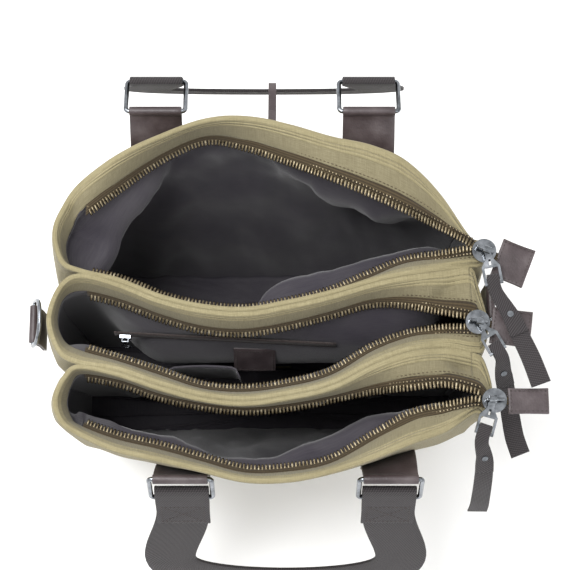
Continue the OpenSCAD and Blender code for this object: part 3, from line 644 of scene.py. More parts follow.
def canvas_shell(c):
    levels = [k / (LEVELS - 1) for k in range(LEVELS)]
    wall = [drape(inset(wall_row(c, v), ROLL[0][0]), v, c * 7.3, 3.0) for v in levels]
    top = wall_row(c, 1.0)
    roll = [inset(top, d) + UP * h for d, h in ROLL]
    share = band_share(c)
    hem = [band_rows(c, [share * t])[0] + UP * lift for t, lift in HEM_LINES]
    tuck = [band_rows(c, [share * 1.02])[0] - UP * 1.4]
    rows = close_rows(np.array(wall + roll + hem + tuck))
    rows[LEVELS - 1:] = dented(rows[LEVELS - 1:])
    return sheet_mesh(f"shell_{NAMES[c]}", rows, CANVAS, 0.9, skin=True)


def facing_sheet(c):
    share = band_share(c)
    parts = [share * 0.9, share * 1.15] + [mix(share * 1.15, 1, k / 7) for k in range(1, 8)]
    rows = band_rows(c, parts) - UP * 0.7
    rows[-1] += UP * 0.2
    rows = np.concatenate([rows, rows[-1:] - UP * 1.3 - inward(rows[-1]) * 0.8])
    # The facing is coloured with the darker canvas, which is painted shade.
    return sheet_mesh(f"facing_{NAMES[c]}", dented(close_rows(rows)), SHADED_CANVAS, 0.8, skin=True)


def rim_stitches(c):
    share = band_share(c)
    parts = []
    for t in (share * GROOVES[0], share * GROOVES[1]):
        rows = dented(band_rows(c, [t, t + 0.05]))
        path = rows[0] + UP * 0.15
        ups = unit_rows(np.cross(rows[1] - rows[0], np.roll(rows[0], -1, axis=0) - rows[0]))
        ups = np.where(ups[:, 2:3] < 0, -ups, ups)
        path, ups = np.concatenate([path, path[:1]]), np.concatenate([ups, ups[:1]])
        parts += stitches(path, ups, pitch=3.9, length=3.0, width=0.85, height=0.75, lift=0.3)
    return parts


SHELL_NODES = {BACK: ["back_panel", "gusset_left", "gusset_right"], MID: ["divider_rear", "divider_front"],
               FRONT: ["front_panel"]}


def build_shell():
    for c in (BACK, MID, FRONT):
        dress(canvas_shell(c), "bag", SHELL_NODES[c])
        dress(facing_sheet(c), "bag", [f"facing_{NAMES[c]}_rear", f"facing_{NAMES[c]}_front"])
        joined_piece(f"rim_stitches_{NAMES[c]}", rim_stitches(c), KHAKI_THREAD)


# Rings of the base cloth, from its upper edge round and under: how far in, and how high.
BASE_RINGS = [(0.2, BASE_THICKNESS), (0.0, 1.6), (0.6, 0.4), (2.0, 0.0), (60, 0.0), (69, 0.0)]


def base_ring(inset_by, z):
    hx, hy = BASE_LENGTH / 2 - inset_by, BASE_LINES[0] - inset_by
    ring = []
    for a in np.linspace(0, 2 * math.pi, 97):
        reach = mix(max(abs(math.cos(a)), abs(math.sin(a))) ** -1, 1, 0.12)
        x, y = math.cos(a) * reach * hx, math.sin(a) * reach * hy
        ring.append([max(min(x, hx), -hx), max(min(y, hy), -hy), z])
    return ring


def base_sheet():
    rows = np.array([base_ring(inset_by, z) for inset_by, z in BASE_RINGS])
    dress(sheet_mesh("base_cloth", rows, CANVAS), "bag", ["base_panel"])


# ---- linings
# Levels of the lining's key rows, and where the slack rear side of the middle one hangs at each.
LINING_LEVELS = [0, 0.3, 0.6, 0.8]
SLACK_DEPTH = [0, -10, -29, -19]
SLACK_SLOPE = [0, 0, 0, -0.05]
SPAN_ROWS = 9
# Billows: compartment, loop range in outline points, fold line in plan, its height and the fall below it.
BILLOWS = [
    (BACK, (7.3, 14.8), [[-70, 116], [-94, 80], [-113, 42], [-122, 24]], 196, 34),
    (BACK, (17.6, 26.0), [[-13, 7], [16, 20], [52, 29], [110, 46], [138, 40]], 200, 40),
    (BACK, (0.6, 6.4), [[8, 108], [30, 101], [52, 86], [80, 72], [100, 61], [128, 46]], 188, 70),
    (FRONT, (12.2, 24.3), [[-134, -75], [-84, -91], [-66, -95], [-48, -104], [-27, -109], [2, -108],
                           [23, -100], [55, -88], [123, -67]], 203, 30),
    (MID, (12.6, 23.6), [[-140, -24], [-105, -34], [-75, -43], [-45, -54], [-15, -57], [15, -52],
                         [45, -43], [75, -27], [115, -15]], 205, 30),
]


def slack_share(i):
    """How slack the rear side of the middle lining is at a column of its loop."""
    t = i / REAR_TO
    return ease(5 * t) * ease(5 * (1 - t)) if 0 < t < 1 else 0.0


def lining_key_row(c, k):
    row = inset(wall_row(c, LINING_LEVELS[k]), 2.9)
    if c == MID and k > 0:
        hung = SLACK_DEPTH[k] + SLACK_SLOPE[k] * row[:, 0]
        share = np.array([slack_share(i) for i in range(LOOP)])
        row[:, 1] = mix(row[:, 1], hung, share)
    return row


def lining_rows(c):
    top = inset(round_loop(sewn_loop(c)), 0.2) - UP * 1.2
    keys = [top] + [lining_key_row(c, k) for k in (3, 2, 1, 0)]
    rows = [curve_point(keys[max(k - 1, 0)], keys[k], keys[k + 1], keys[min(k + 2, 4)], s / SPAN_ROWS)
            for k in range(4) for s in range(SPAN_ROWS)]
    rows = np.array(rows + [keys[4]])
    for j in range(1, SPAN_ROWS):
        rows[j, :, :2] = mix(rows[0, :, :2], rows[j, :, :2], j / SPAN_ROWS)
    return rows


def nearest_on(line, p):
    best, spot = 1e9, None
    for a, b in zip(line[:-1], line[1:]):
        t = min(max(float(np.dot(p - a, b - a) / np.dot(b - a, b - a)), 0), 1)
        q = a + (b - a) * t
        if np.linalg.norm(p - q) < best:
            best, spot = np.linalg.norm(p - q), q
    return spot


def billow_weight(z, top, level, fall):
    """How far a billow pulls the lining at height z: from none at the zip to all at its fold, then less."""
    if z >= level:
        start = min(top - 10, ZIP_HEIGHT - 4)
        return math.sin(math.pi / 2 * min(max((start - z) / max(start - level, 1), 0), 1))
    return ease(1 - (level - z) / fall)


def billowed(rows, c):
    rows = rows.copy()
    for owner, (low, high), line, level, fall in BILLOWS:
        if owner != c:
            continue
        fold = round_path([p + [0] for p in line])[:, :2]
        for i in range(int(low * STEPS), int(high * STEPS) + 1):
            k = i % LOOP
            side = ease((i / STEPS - low) / 1.6) * ease((high - i / STEPS) / 1.6)
            for j in range(1, len(rows)):
                w = billow_weight(rows[j, k, 2], rows[0, k, 2], level, fall) * side
                if w > 0.01:
                    rows[j, k, :2] = mix(rows[j, k, :2], nearest_on(fold, rows[j, k, :2]), w)
    return rows


CREASE_TOP, CREASE_FADE, CREASE_REACH, END_FADE, MID_GRIP = ZIP_HEIGHT - 10, 30, 126, 20, 0.1


def crease_grip(c, p):
    """Share of the creases at a point: none at the zip and the bag's ends, little in the middle pocket."""
    below = min(max((CREASE_TOP - p[2]) / CREASE_FADE, 0), 1)
    inside = min(max((CREASE_REACH - abs(p[0])) / END_FADE, 0), 1)
    return below * inside * (MID_GRIP if c == MID else 1)


def creased(rows, c):
    rows = rows.copy()
    for j in range(2, len(rows)):
        normal = inward(rows[j])
        for i, p in enumerate(rows[j]):
            q = Vector((p[0] / 34 + c * 5, p[1] / 34, p[2] / 55))
            fine = Vector((p[0] / 15 + c * 5, p[1] / 15 + 9, p[2] / 30))
            fold = max(noise.noise(q) + 0.1, -0.1) * 6.5 + abs(noise.noise(fine)) * 2.6
            rows[j, i] += normal[i] * crease_grip(c, p) * fold
    return rows


def lining_sheet(c):
    rows = creased(billowed(lining_rows(c), c), c)
    middle = rows[-1].mean(axis=0)
    shrink = [mix(rows[-1], middle, t) + UP * (2.5 + 1.5 * t) for t in (0.15, 0.4, 0.7, 0.94)]
    rows = close_rows(np.concatenate([rows, np.array(shrink)]))
    rows[..., 2] = np.maximum(rows[..., 2], BASE_THICKNESS + 1.5)
    obj = sheet_mesh(f"lining_cloth_{NAMES[c]}", rows, LINING, 0.7, skin=True)
    dress(obj, "bag", [f"lining_{NAMES[c]}"])


# ---- zips
# Loop columns of each zip side: the tape runs on to the slider, the teeth stop under its cap.
REAR_STOP, FRONT_STOP = REAR_TO - STEPS // 2, LEFT_TO + STEPS // 2
TAPE_SPAN = {"rear": (-STEPS - 4, REAR_STOP + 3), "front": (FRONT_STOP - 3, FRONT_TO + STEPS + 4)}
TEETH_SPAN = {"rear": (-2, REAR_STOP + 2), "front": (FRONT_STOP - 2, FRONT_TO + 2)}
SIDES = ("rear", "front")
TOOTH_PITCH, TOOTH_WIDE, TOOTH_DEEP, TOOTH_TALL, HEEL_SIZE = 2.6, 1.7, 5.2, 2.0, (1.3, 1.5, 1.0)
# How level the teeth lie, as a share, and their least distance from the seam.
TOOTH_FLAT, TOOTH_CLEAR = {"rear": 0.6, "front": 0.8}, {"rear": 3.2, "front": 4.6}


def span_of(loop, span):
    return np.array([loop[i % LOOP] for i in range(span[0], span[1] + 1)])


def zip_line(c, side, span):
    """Edge of the tape kept clear of its seam, the seam itself and the level way out of the opening."""
    edge = span_of(round_loop(edge_loop(c)), span)
    sewn = span_of(round_loop(sewn_loop(c)), span)
    level = unit_rows(np.cross(np.gradient(edge, axis=0), UP))
    level *= 1 if (level * (sewn - edge)).sum() > 0 else -1
    stand = np.clip(TOOTH_CLEAR[side] - ((sewn - edge) * level).sum(axis=1), 0, 8)
    stand = np.convolve(np.pad(stand, 4, mode="edge"), np.ones(9) / 9, mode="valid")[:, None]
    return edge - level * stand + UP * stand * 0.45, sewn, level


def tape_sheet(c, side):
    edge, sewn, _ = zip_line(c, side, TAPE_SPAN[side])
    rows = [mix(edge, sewn, t) + UP * (0.5 * math.sin(math.pi * t) - 0.1) for t in (0, 0.25, 0.5, 0.75, 1.06)]
    sheet_piece(f"tape_{NAMES[c]}_{side}", rows, TAPE, 0.7, [f"zip_tape_{NAMES[c]}"])


def zip_side(c, side):
    """Path of the teeth with the direction across the tape and the way up."""
    path, sewn, level = zip_line(c, side, TEETH_SPAN[side])
    out = unit_rows(mix(unit_rows(sewn - path), level, TOOTH_FLAT[side]))
    along = unit_rows(np.gradient(path, axis=0))
    up = unit_rows(np.cross(along, out))
    up = np.where(up[:, 2:3] < 0, -up, up)
    return path, out, up


def teeth_row(c, side):
    path, out, up = zip_side(c, side)
    reach = reach_along(path)
    count = int(reach[-1] / TOOTH_PITCH) + 1
    spots, outs, ups = [interp_rows(np.linspace(0, 1, count), reach / reach[-1], v) for v in (path, out, up)]
    outs, ups = unit_rows(outs), unit_rows(ups)
    places = list(zip(spots, unit_rows(np.gradient(spots, axis=0)), outs, ups))
    parts = [tooth_part(p + u * 0.9 - o * 0.2, a, -o, u, TOOTH_WIDE, TOOTH_DEEP, TOOTH_TALL)
             for p, a, o, u in places]
    parts += [tooth_part(p + u * 1.25 + o * 3.9, a, -o, u, *HEEL_SIZE) for p, a, o, u in places]
    cord = [tube_part(spots + outs * 3.7 + ups * 0.45, ups, 2.0, 1.4)]
    joined_piece(f"tape_cord_{NAMES[c]}_{side}", cord, TAPE)
    joined_piece(f"teeth_{NAMES[c]}_{side}", parts, BRASS, [f"zip_teeth_{NAMES[c]}"])


def tape_stitches(c, side):
    _, out, up = zip_side(c, side)
    sewn = span_of(round_loop(sewn_loop(c)), TEETH_SPAN[side])
    return stitches(sewn + out * 1.6 + up * 1.1, up, pitch=3.0, length=2.0)


def build_zips():
    for c in (BACK, MID, FRONT):
        for side in SIDES:
            tape_sheet(c, side)
            teeth_row(c, side)
        parts = tape_stitches(c, "rear") + tape_stitches(c, "front")
        joined_piece(f"tape_stitches_{NAMES[c]}", parts, KHAKI_THREAD)


# ---- straps and tabs
# By side: hinge of its rings (y, z), how far rings and handle dip below level in degrees, and the rings' x.
WEBBING_WIDTH = 38
FRONT_SIDE, REAR_SIDE = -1, 1
HINGES = {FRONT_SIDE: (-124, 222), REAR_SIDE: (143, 222)}
RING_DIP = {FRONT_SIDE: 66, REAR_SIDE: 15}
HANDLE_DIP = {FRONT_SIDE: 60, REAR_SIDE: 74}
RING_SPOTS = {FRONT_SIDE: (-60, 86), REAR_SIDE: (-82, 74)}
HANDLE_BOW = 1.3
RING_REACH, HANDLE_DROP, BORE = 26, 116, 1.83
SIDE_NAME = {FRONT_SIDE: "front", REAR_SIDE: "rear"}


def turned(points, degrees, a, b):
    """Points turned from axis a towards axis b."""
    c, s = math.cos(math.radians(degrees)), math.sin(math.radians(degrees))
    p = np.array(points, float)
    p[..., a], p[..., b] = p[..., a] * c - p[..., b] * s, p[..., a] * s + p[..., b] * c
    return p


def turn_x(points, degrees):
    return turned(points, degrees, 1, 2)


def turn_z(points, degrees):
    return turned(points, degrees, 0, 1)


def handle_place(points, side):
    y, z = HINGES[side]
    dip = math.radians(RING_DIP[side])
    y, z = y + side * RING_REACH * math.cos(dip), z - RING_REACH * math.sin(dip)
    local = turn_x(points, HANDLE_DIP[side])
    return turn_z(local, 0 if side == FRONT_SIDE else 180) + np.array([sum(RING_SPOTS[side]) / 2, y, z])


def half_span(side):
    return (RING_SPOTS[side][1] - RING_SPOTS[side][0]) / 2


def handle_strap(side):
    span, lead, half, strap_end, cup = half_span(side), 12, WEBBING_WIDTH / 2, -7, 0.7
    rows = []
    turn = np.linspace(0, math.pi, 56)
    middle = np.stack([-span * np.cos(turn) * (1 + HANDLE_BOW * np.sin(turn) ** 2),
                       -lead - (HANDLE_DROP - lead) * np.sin(turn), 0 * turn], axis=1)
    way = unit_rows(np.gradient(middle, axis=0))
    outward = np.stack([way[:, 1], -way[:, 0], 0 * turn], axis=1)
    outward[0], outward[-1] = (-1, 0, 0), (1, 0, 0)
    for grow in np.linspace(-half, half, 9):
        curve = middle + outward * grow
        start, end = np.array([-span - grow, strap_end, 0]), np.array([span + grow, strap_end, 0])
        line = [mix(start, curve[0], t) for t in (0, 0.33, 0.66)] + list(curve)
        line += [mix(curve[-1], end, t) for t in (0.33, 0.66, 1)]
        rows.append(np.array(line) + UP * cup * (1 - (grow / half) ** 2))
    name = f"handle_{SIDE_NAME[side]}"
    sheet_piece(f"handle_web_{SIDE_NAME[side]}", handle_place(np.array(rows), side), WEBBING, 2.4, [name],
                name, bevel=0.5)


WEB_SLACK = 9


def loop_profile(radius, tail, lift):
    """Section of a strap end: over the bar, round it and back along itself."""
    arc = [(WEB_SLACK + radius * 0.8 * math.cos(a), radius * 0.8 * math.sin(a))
           for a in np.linspace(math.pi / 2, -math.pi / 2, 13)]
    over = [(x, radius) for x in np.linspace(-1, WEB_SLACK * 0.7, 5)]
    back = [(-tail, lift), (-tail * 0.6, lift), (-8, lift + 0.1), (-4, radius * 0.97)]
    under = [(x, -y) for x, y in reversed(over)] + [(-4, -radius * 0.86), (-8, -0.9), (-12, -0.6)]
    return back + over + arc + under


def handle_loop(side, end):
    x_middle, half = end * half_span(side), WEBBING_WIDTH / 2
    columns = np.linspace(-half, half, 9)
    rows = np.array([[[x_middle + x, y, z] for x in columns] for y, z in loop_profile(BORE + 0.8, 30, 2.1)])
    handle = f"handle_{SIDE_NAME[side]}"
    name = f"{SIDE_NAME[side]}_{'right' if (end > 0) == (side == FRONT_SIDE) else 'left'}"
    placed = handle_place(rows, side)
    sheet_piece(f"handle_loop_{name}", placed, WEBBING, 1.5, (), handle, bevel=0.4)
    corners = [(x, y, 3.0) for x, y in box_corners(x_middle - half + 4, x_middle + half - 4, -27, -9)]
    up = handle_place([[0, 0, 1.0]], side) - handle_place([[0, 0, 0.0]], side)
    parts = stitched_box(corners, lambda path: handle_place(path, side), up, 12, 2.8, 2.0, crossed=True)
    joined_piece(f"handle_box_{name}", parts, DARK_THREAD, (), handle)


# How far below the bar each line of a tab lies, and how far it has come from the bar to the wall.
TAB_DROPS = [(1.6, 0.0), (5, 0.15), (8, 0.35), (12, 0.56), (17, 0.75), (22, 0.9), (28, 1.0), (35, 1.0),
             (42, 1.0)]


def tab_rows(hinge, side, columns, wall, drops, radius, layer):
    """Leather folded over a bar: up the inner side, over it, and down the outer side."""
    rows = []
    for x in columns:
        inner, outer = [], []
        for drop, share in drops:
            z = hinge[1] - drop
            flat_out = wall(x, z)
            inner.append([x, mix(hinge[0] - side * radius * 0.9, flat_out + side * layer * 0.7, share), z])
            outer.append([x, mix(hinge[0] + side * radius * 0.9, flat_out + side * layer * 1.9, share), z])
        arc = [[x, hinge[0] - side * radius * math.cos(a), hinge[1] + radius * math.sin(a)]
               for a in np.linspace(0, math.pi, 13)]
        rows.append(inner[::-1] + arc + outer)
    return np.array(rows)


def tab_stitches(name, outer, up, pitch, length):
    """Stitches down both edges of a tab's outer face and across its lower end."""
    parts = []
    for line in (outer[1], outer[-2], outer[1:-1, -2]):
        ups = np.tile(np.array(up), (len(line), 1))
        parts += stitches(line + ups, ups, pitch, length)
    joined_piece(name, parts, DARK_THREAD)


def handle_tab(x, side):
    line = 3 if side == FRONT_SIDE else 0
    columns = x + WEBBING_WIDTH * np.linspace(-0.5, 0.5, 9)
    rows = tab_rows(HINGES[side], side, columns, lambda px, z: wall_depth(line, px, z) + side * 0.6,
                    TAB_DROPS, BORE + 0.85, 1.4)
    name = f"{SIDE_NAME[side]}_{'left' if x == RING_SPOTS[side][0] else 'right'}"
    sheet_piece(f"tab_leather_{name}", rows, LEATHER, 1.45, [f"handle_tab_{name}"], bevel=0.4)
    tab_stitches(f"tab_stitches_{name}", rows[:, -len(TAB_DROPS) + 2:], [0, side, 0.15], 3.4, 2.3)


# Strap ring tabs by end: the hinge and the wall behind it, then lines as in TAB_DROPS.
D_HINGES = {-1: (-168, -12, 205), 1: (160, 5, 212)}
D_SURFACE = {-1: -163.8, 1: 157.8}
D_DROPS = [(1.5, 0.0), (5, 0.2), (9, 0.45), (13.5, 0.78), (18, 1.0), (27, 1.0), (36, 1.0)]
D_WIDTH, D_BORE = 27, 1.58


def d_tab(side):
    x, y, z = D_HINGES[side]
    columns = y + D_WIDTH * np.linspace(-0.5, 0.5, 7)
    rows = tab_rows((x, z), side, columns, lambda px, pz: D_SURFACE[side], D_DROPS, D_BORE + 0.85, 1.3)
    rows = rows[..., [1, 0, 2]]
    name = "left" if side < 0 else "right"
    sheet_piece(f"strap_tab_{name}", rows, LEATHER, 1.4, [f"d_tab_{name}"], bevel=0.4)
    tab_stitches(f"strap_tab_stitches_{name}", rows[:, -len(D_DROPS) + 2:], [side, 0, 0.1], 3.2, 2.2)


# ---- zip ends and pull strips
# Of the zips from rear to front: places and turns of the sliders, then shifts of the pullers' eyes and turns.
SLIDER_SPOTS = [[153, 35], [147, -16], [157, -71]]
SLIDER_TURNS = [-22, -8, 0]
EYE_SHIFTS = [1.4, 1, -1.8]
PULLER_SKEWS = [33, 38, -15]
PULLER_DIP, BAIL_HEIGHT, PULLER_LENGTH, PULLER_BORE = 12, 9.5, 24, 1.28
TAIL_LENGTHS, TAIL_START, TAIL_WIDTHS = [24, 28, 28], 10, [29, 26, 18]
# Ways of the pull strips after their loops, chosen to follow the photo.
STRIP_ROUTES = [
    [[169.5, -11, 237.6], [175.5, -25, 238.4], [183, -42, 238.2], [189.5, -60, 237.2]],
    [[165, -50, 227], [168, -58, 216], [171.5, -68, 205], [174.5, -80, 196], [177.5, -92, 190],
     [182, -104, 186]],
    [[150.4, -109, 225], [151.5, -118, 214], [152, -126, 202], [152.5, -133, 188], [153, -139, 174],
     [153, -143, 160]],
]
STRIP_HALF, LOOP_HALF, STRIP_LAYER, LOOP_SLACK, FIRST_STEP = 6.25, 4.3, 1.2, 4.5, 6
STRIP_STEPS, SHORT_END = 6, 19


def slider_place(points, c):
    return turn_z(points, SLIDER_TURNS[c]) + np.array([*SLIDER_SPOTS[c], ZIP_HEIGHT])


def zip_tail(c):
    half, length = TAIL_WIDTHS[c] / 2, TAIL_LENGTHS[c]
    xs, ys = np.linspace(TAIL_START, TAIL_START + length, 15), np.linspace(-half, half, 9)
    for name, level in (("top", 0.72), ("under", -0.72)):
        rows = [[[x, y * (1 - 0.03 * math.sin(math.pi * (x - TAIL_START) / length)),
                  level + 0.25 * math.sin(y * 0.3 + c)] for x in xs] for y in ys]
        sheet_piece(f"tail_{name}_{NAMES[c]}", slider_place(rows, c), LEATHER, 1.35, [f"zip_tail_{NAMES[c]}"],
                    bevel=0.45)
    edge = 2.0
    corners = [(x, y, 1.55) for x, y in box_corners(xs[0] + edge, xs[-1] - edge, -half + edge, half - edge)]
    parts = stitched_box(corners, lambda path: slider_place(path, c), UP, 9, 2.7, 1.9)
    joined_piece(f"tail_stitches_{NAMES[c]}", parts, DARK_THREAD)
    rows = [[[x, y, 0.9] for x in np.linspace(0, TAIL_START + 1, 5)] for y in (-2.8, -1, 1, 2.8)]
    sheet_piece(f"tail_tape_{NAMES[c]}", slider_place(rows, c), TAPE, 0.9, ())


def puller_turned(way, c):
    return turn_x(turn_z(way, PULLER_SKEWS[c]), PULLER_DIP)


def strip_frames(c):
    """Way of a pull strip from its puller's end bar, and which way is along, across and up."""
    bar = puller_turned([0, -PULLER_LENGTH, 0], c) + np.array([EYE_SHIFTS[c], 0, BAIL_HEIGHT])
    spot = slider_place(bar, c)
    axis, way = [turn_z(puller_turned(v, c), SLIDER_TURNS[c]) for v in ([1, 0, 0], [0, -1, 0])]
    route = [list(spot - way * LOOP_SLACK), list(spot + way * FIRST_STEP)] + STRIP_ROUTES[c]
    path = round_path(route, STRIP_STEPS)
    along = unit_rows(np.gradient(path, axis=0))
    level = np.stack([-along[:, 1], along[:, 0], 0 * along[:, 0]], axis=1)
    level[:4] = mix(np.array(axis), level[4], np.linspace(0, 1, 4)[:, None])
    across = unit_rows(level - along * (along * level).sum(axis=1, keepdims=True))
    return path, along, across, unit_rows(np.cross(along, across))


def strip_cloth(c):
    """Webbing from its short end, round the puller's bar and on along the strip's whole way."""
    path, along, across, up = strip_frames(c)
    steps = np.arange(len(path))
    half = np.interp(steps, [0, 7, 14, len(path)], [LOOP_HALF, 4.6, STRIP_HALF, STRIP_HALF + 0.9])[:, None]
    radius = PULLER_BORE + STRIP_LAYER / 2
    lift = np.interp(steps, [0, 3, 5, 11], [radius * 0.7, radius, radius, STRIP_LAYER / 2 + 0.05])[:, None]
    back = slice(SHORT_END - 1, 0, -1)
    arc = [path[0] + up[0] * lift[0] * math.cos(a) - along[0] * lift[0] * math.sin(a)
           for a in np.linspace(0, math.pi, 9)]
    line = np.concatenate([path[back] + up[back] * lift[back], arc, path[1:] - up[1:] * lift[1:]])
    sides = np.concatenate([across[back] * half[back], np.tile(across[0] * LOOP_HALF, (9, 1)),
                            across[1:] * half[1:]])
    rows = [line + sides * s for s in (-1, -0.94, -0.5, 0, 0.5, 0.94, 1)]
    name = f"pull_strip_{NAMES[c]}"
    sheet_piece(f"strip_web_{NAMES[c]}", rows, WEBBING, STRIP_LAYER, [name], name, bevel=0.3)


# ---- pockets inside, and the back zip
INNER_START, INNER_TURN, INNER_LENGTH = [-104, -14.5, 184], -3, 150


def inner_place(points):
    return turn_z(points, INNER_TURN) + np.array(INNER_START)


LIP_PROFILE = [(1.1, -0.6), (1.7, -1.2), (4, -0.5), (7, 0.2)]


def inner_pocket():
    xs = np.linspace(-8, INNER_LENGTH + 4, 40)
    lower = [(-z, y) for z, y in LIP_PROFILE]
    for name, profile in (("upper", LIP_PROFILE[::-1]), ("lower", lower)):
        rows = [[[x, y - 0.9, z + 0.25 * math.sin(x / 9)] for x in xs] for z, y in profile]
        sheet_piece(f"pocket_lip_{name}", inner_place(rows), DARK_THREAD, 0.7, ["inner_zip"])
    parts = [tooth_part(np.array([x, -1.5, 0.35 * (-1) ** k]), np.array([1.0, 0, 0]), UP,
                        np.array([0, -1.0, 0]), 1.0, 2.2, 1.0)
             for k, x in enumerate(np.arange(-3, INNER_LENGTH, 1.6))]
    parts = [(inner_place(points), faces) for points, faces in parts]
    joined_piece("pocket_teeth", parts, DARK_METAL)


LABEL_HALF, LABEL_EDGE, LABEL_TURN, LABEL_PLACE = (15.5, 13), 2, -28, [-10, -29.5, 158]


def label_place(points):
    return turn_x(points, LABEL_TURN) + np.array(LABEL_PLACE)


def label_leather():
    wide, tall = LABEL_HALF
    xs, zs = np.linspace(-wide, wide, 13), np.linspace(-tall, tall, 9)
    rows = [[[x, -0.9 - 0.5 * math.sin(math.pi * (x + wide) / (2 * wide)), z] for x in xs] for z in zs]
    rows += [[[x, -0.9 + d, tall + h] for x in xs] for d, h in ((0.1, 0.6), (0.8, 0.9), (1.4, 0.4))]
    sheet_piece("label_leather", label_place(rows), LEATHER, 1.2, ["label_patch"], bevel=0.35)
    wide, tall = wide - LABEL_EDGE, tall - LABEL_EDGE
    corners = [(x, -2.2, z) for x, z in box_corners(-wide, wide, -tall, tall)]
    up = turn_x([[0, -1.0, 0]], LABEL_TURN)
    parts = stitched_box(corners, label_place, up, 9, 2.6, 1.8)
    joined_piece("label_stitches", parts, DARK_THREAD)


SLIP_START, SLIP_LENGTH, SLIP_FOOT, SLIP_GAP, SLIP_LOW, SLIP_HIGH = -74, 54, -44, 8, 100, 188


def slip_cloth():
    lean = (wall_depth(2, -45, SLIP_HIGH) - wall_depth(2, -45, SLIP_LOW)) * 0.45
    rows = []
    for t in np.linspace(0, 1, 15):
        sag, row = 5 * t ** 3, []
        for s in np.linspace(0, 1, 19):
            dip = sag * math.sin(math.pi * s)
            y = SLIP_FOOT + SLIP_GAP + lean * t + dip / 2 - (SLIP_GAP - 1) * edge_pinch(s)
            row.append([SLIP_START + SLIP_LENGTH * s, y, mix(SLIP_LOW, SLIP_HIGH, t) - dip])
        rows.append(row)
    top = np.array(rows[-1])
    rows = np.array(rows + [top + np.array([0, 0.9, -0.2]), top + np.array([0, 0.9, -6])])
    sheet_piece("slip_pocket_cloth", rows, LINING, 0.8, ["slip_pocket"])


def edge_pinch(s):
    return max(0.0, 1 - min(s, 1 - s) / 0.09) ** 2


BACK_ZIP_HEIGHT, BACK_ZIP_HALF = 200, 72
PULL_SPOT, PULL_DIP, PULL_BEND, PULL_HALF, PULL_NECK = [3, 137.6], 24, 1.55, 3.0, 1.5
PULL_FRONT = [(16, 1.2), (8, 1.3), (3, 1.6)]
PULL_BACK = [(3, -1.3), (8, -0.4), (16, -0.2), (26, 0.2), (36, -0.2), (46, -0.6)]


def back_pocket():
    xs = np.linspace(-BACK_ZIP_HALF, BACK_ZIP_HALF, 61)
    for name, offsets in (("upper", (6, 3.5, 1.2)), ("lower", (-1.2, -3.5, -6))):
        rows = [[[x, wall_depth(0, x, BACK_ZIP_HEIGHT + dz) + 0.9 + 0.6 * (1 - abs(dz) / 7),
                  BACK_ZIP_HEIGHT + dz] for x in xs] for dz in offsets]
        sheet_piece(f"back_tape_{name}", rows, TAPE, 0.8, ["back_zip"])
    path = np.array([[x, wall_depth(0, x, BACK_ZIP_HEIGHT) + 1.5, BACK_ZIP_HEIGHT] for x in xs])
    spots = resample(path, 1.9)
    parts = [tooth_part(p + UP * 0.4 * (-1) ** k, a, UP, np.array([0, 1.0, 0]), 1.2, 2.6, 1.4)
             for k, (p, a) in enumerate(zip(spots, unit_rows(np.gradient(spots, axis=0))))]
    joined_piece("back_teeth", parts, BRASS)


def back_pull_strap():
    bend = [(PULL_BEND * math.cos(a), PULL_BEND * math.sin(a))
            for a in np.linspace(math.pi / 2, 3 * math.pi / 2, 9)]
    profile = PULL_FRONT + bend + PULL_BACK
    rows = [[[s * (PULL_NECK if 1 < k < 12 else PULL_HALF), y, z] for k, (y, z) in enumerate(profile)]
            for s in (-1, -0.9, -0.4, 0.4, 0.9, 1)]
    placed = turn_x(rows, -PULL_DIP) + np.array(PULL_SPOT + [BACK_ZIP_HEIGHT])
    sheet_piece("back_pull_leather", placed, LEATHER, 1.3, ["back_pull"], "back_pull", bevel=0.3)


# ---- metal parts keep their CAD shape
METAL = ("ring_", "d_ring_", "slider_", "puller_", "pull_rivet_", "inner_slider", "inner_puller",
         "back_slider")


def metal_nodes():
    for name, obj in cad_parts.items():
        if name.startswith(METAL):
            obj.data.materials.clear()
            obj.data.materials.append(NICKEL)
            obj.data.polygons.foreach_set("use_smooth", [True] * len(obj.data.polygons))
            obj.data.set_sharp_from_angle(angle=math.radians(35))


# ---- studio
TARGET, CAMERA_RISE, CAMERA_REACH, LENS = np.array([12.6, 10.5, 235]), math.radians(78), 1000, 90
DAYLIGHT, FLOOR_REACH, FLOOR_DROP = 1.03, 6.0, 0.0005
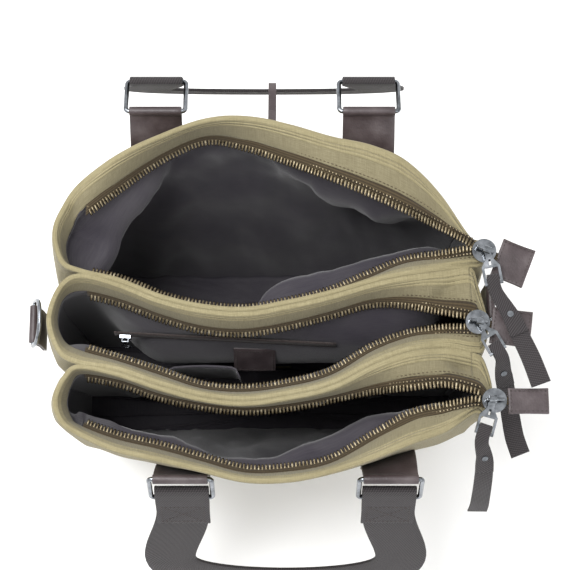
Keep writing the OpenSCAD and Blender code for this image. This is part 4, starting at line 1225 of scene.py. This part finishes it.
# Lamps: name, place, target, size and power.
LAMPS = [("top", (-330, 10, 1600), (0, 10, 150), 420, 12), ("key", (-700, 500, 1400), (0, 0, 150), 900, 13),
         ("fill", (900, -900, 1200), (0, 0, 150), 1200, 7)]


def aim(obj, place, target):
    obj.location = Vector(place) * MM
    obj.rotation_euler = (Vector(target) - Vector(place)).to_track_quat("-Z", "Y").to_euler()


def camera():
    data = bpy.data.cameras.new("camera")
    data.lens, data.sensor_width, data.clip_end = LENS, 36, 20
    obj = put("camera", data)
    aim(obj, TARGET + CAMERA_REACH * np.array([0, -math.cos(CAMERA_RISE), math.sin(CAMERA_RISE)]), TARGET)
    bpy.context.scene.camera = obj


def lamp(name, place, target, size, power):
    data = bpy.data.lights.new(name, "AREA")
    data.shape, data.size, data.energy = "SQUARE", size * MM, power
    aim(put(name, data), place, target)


def floor():
    corners = [(x * FLOOR_REACH, y * FLOOR_REACH, -FLOOR_DROP) for x, y in box_corners(-1, 1, -1, 1)]
    mesh = bpy.data.meshes.new("floor")
    mesh.from_pydata(corners, [], [(0, 1, 2, 3)])
    mesh.materials.append(Nodes("floor_paint", (0.93, 0.93, 0.93), 0.9).material)
    put("floor", mesh)


def studio():
    world = bpy.data.worlds.new("studio")
    world.use_nodes = True
    background = world.node_tree.nodes["Background"].inputs
    background["Color"].default_value = (1, 1, 1, 1)
    background["Strength"].default_value = DAYLIGHT
    bpy.context.scene.world = world
    bpy.context.scene.view_settings.view_transform = "Standard"
    for values in LAMPS:
        lamp(*values)
    floor()


def build():
    camera()
    studio()
    build_shell()
    base_sheet()
    for c in (BACK, MID, FRONT):
        lining_sheet(c)
        zip_tail(c)
        strip_cloth(c)
    build_zips()
    for side in (FRONT_SIDE, REAR_SIDE):
        handle_strap(side)
        for end in (-1, 1):
            handle_loop(side, end)
        for x in RING_SPOTS[side]:
            handle_tab(x, side)
    for side in (-1, 1):
        d_tab(side)
    inner_pocket()
    label_leather()
    slip_cloth()
    back_pocket()
    back_pull_strap()
    metal_nodes()


build()
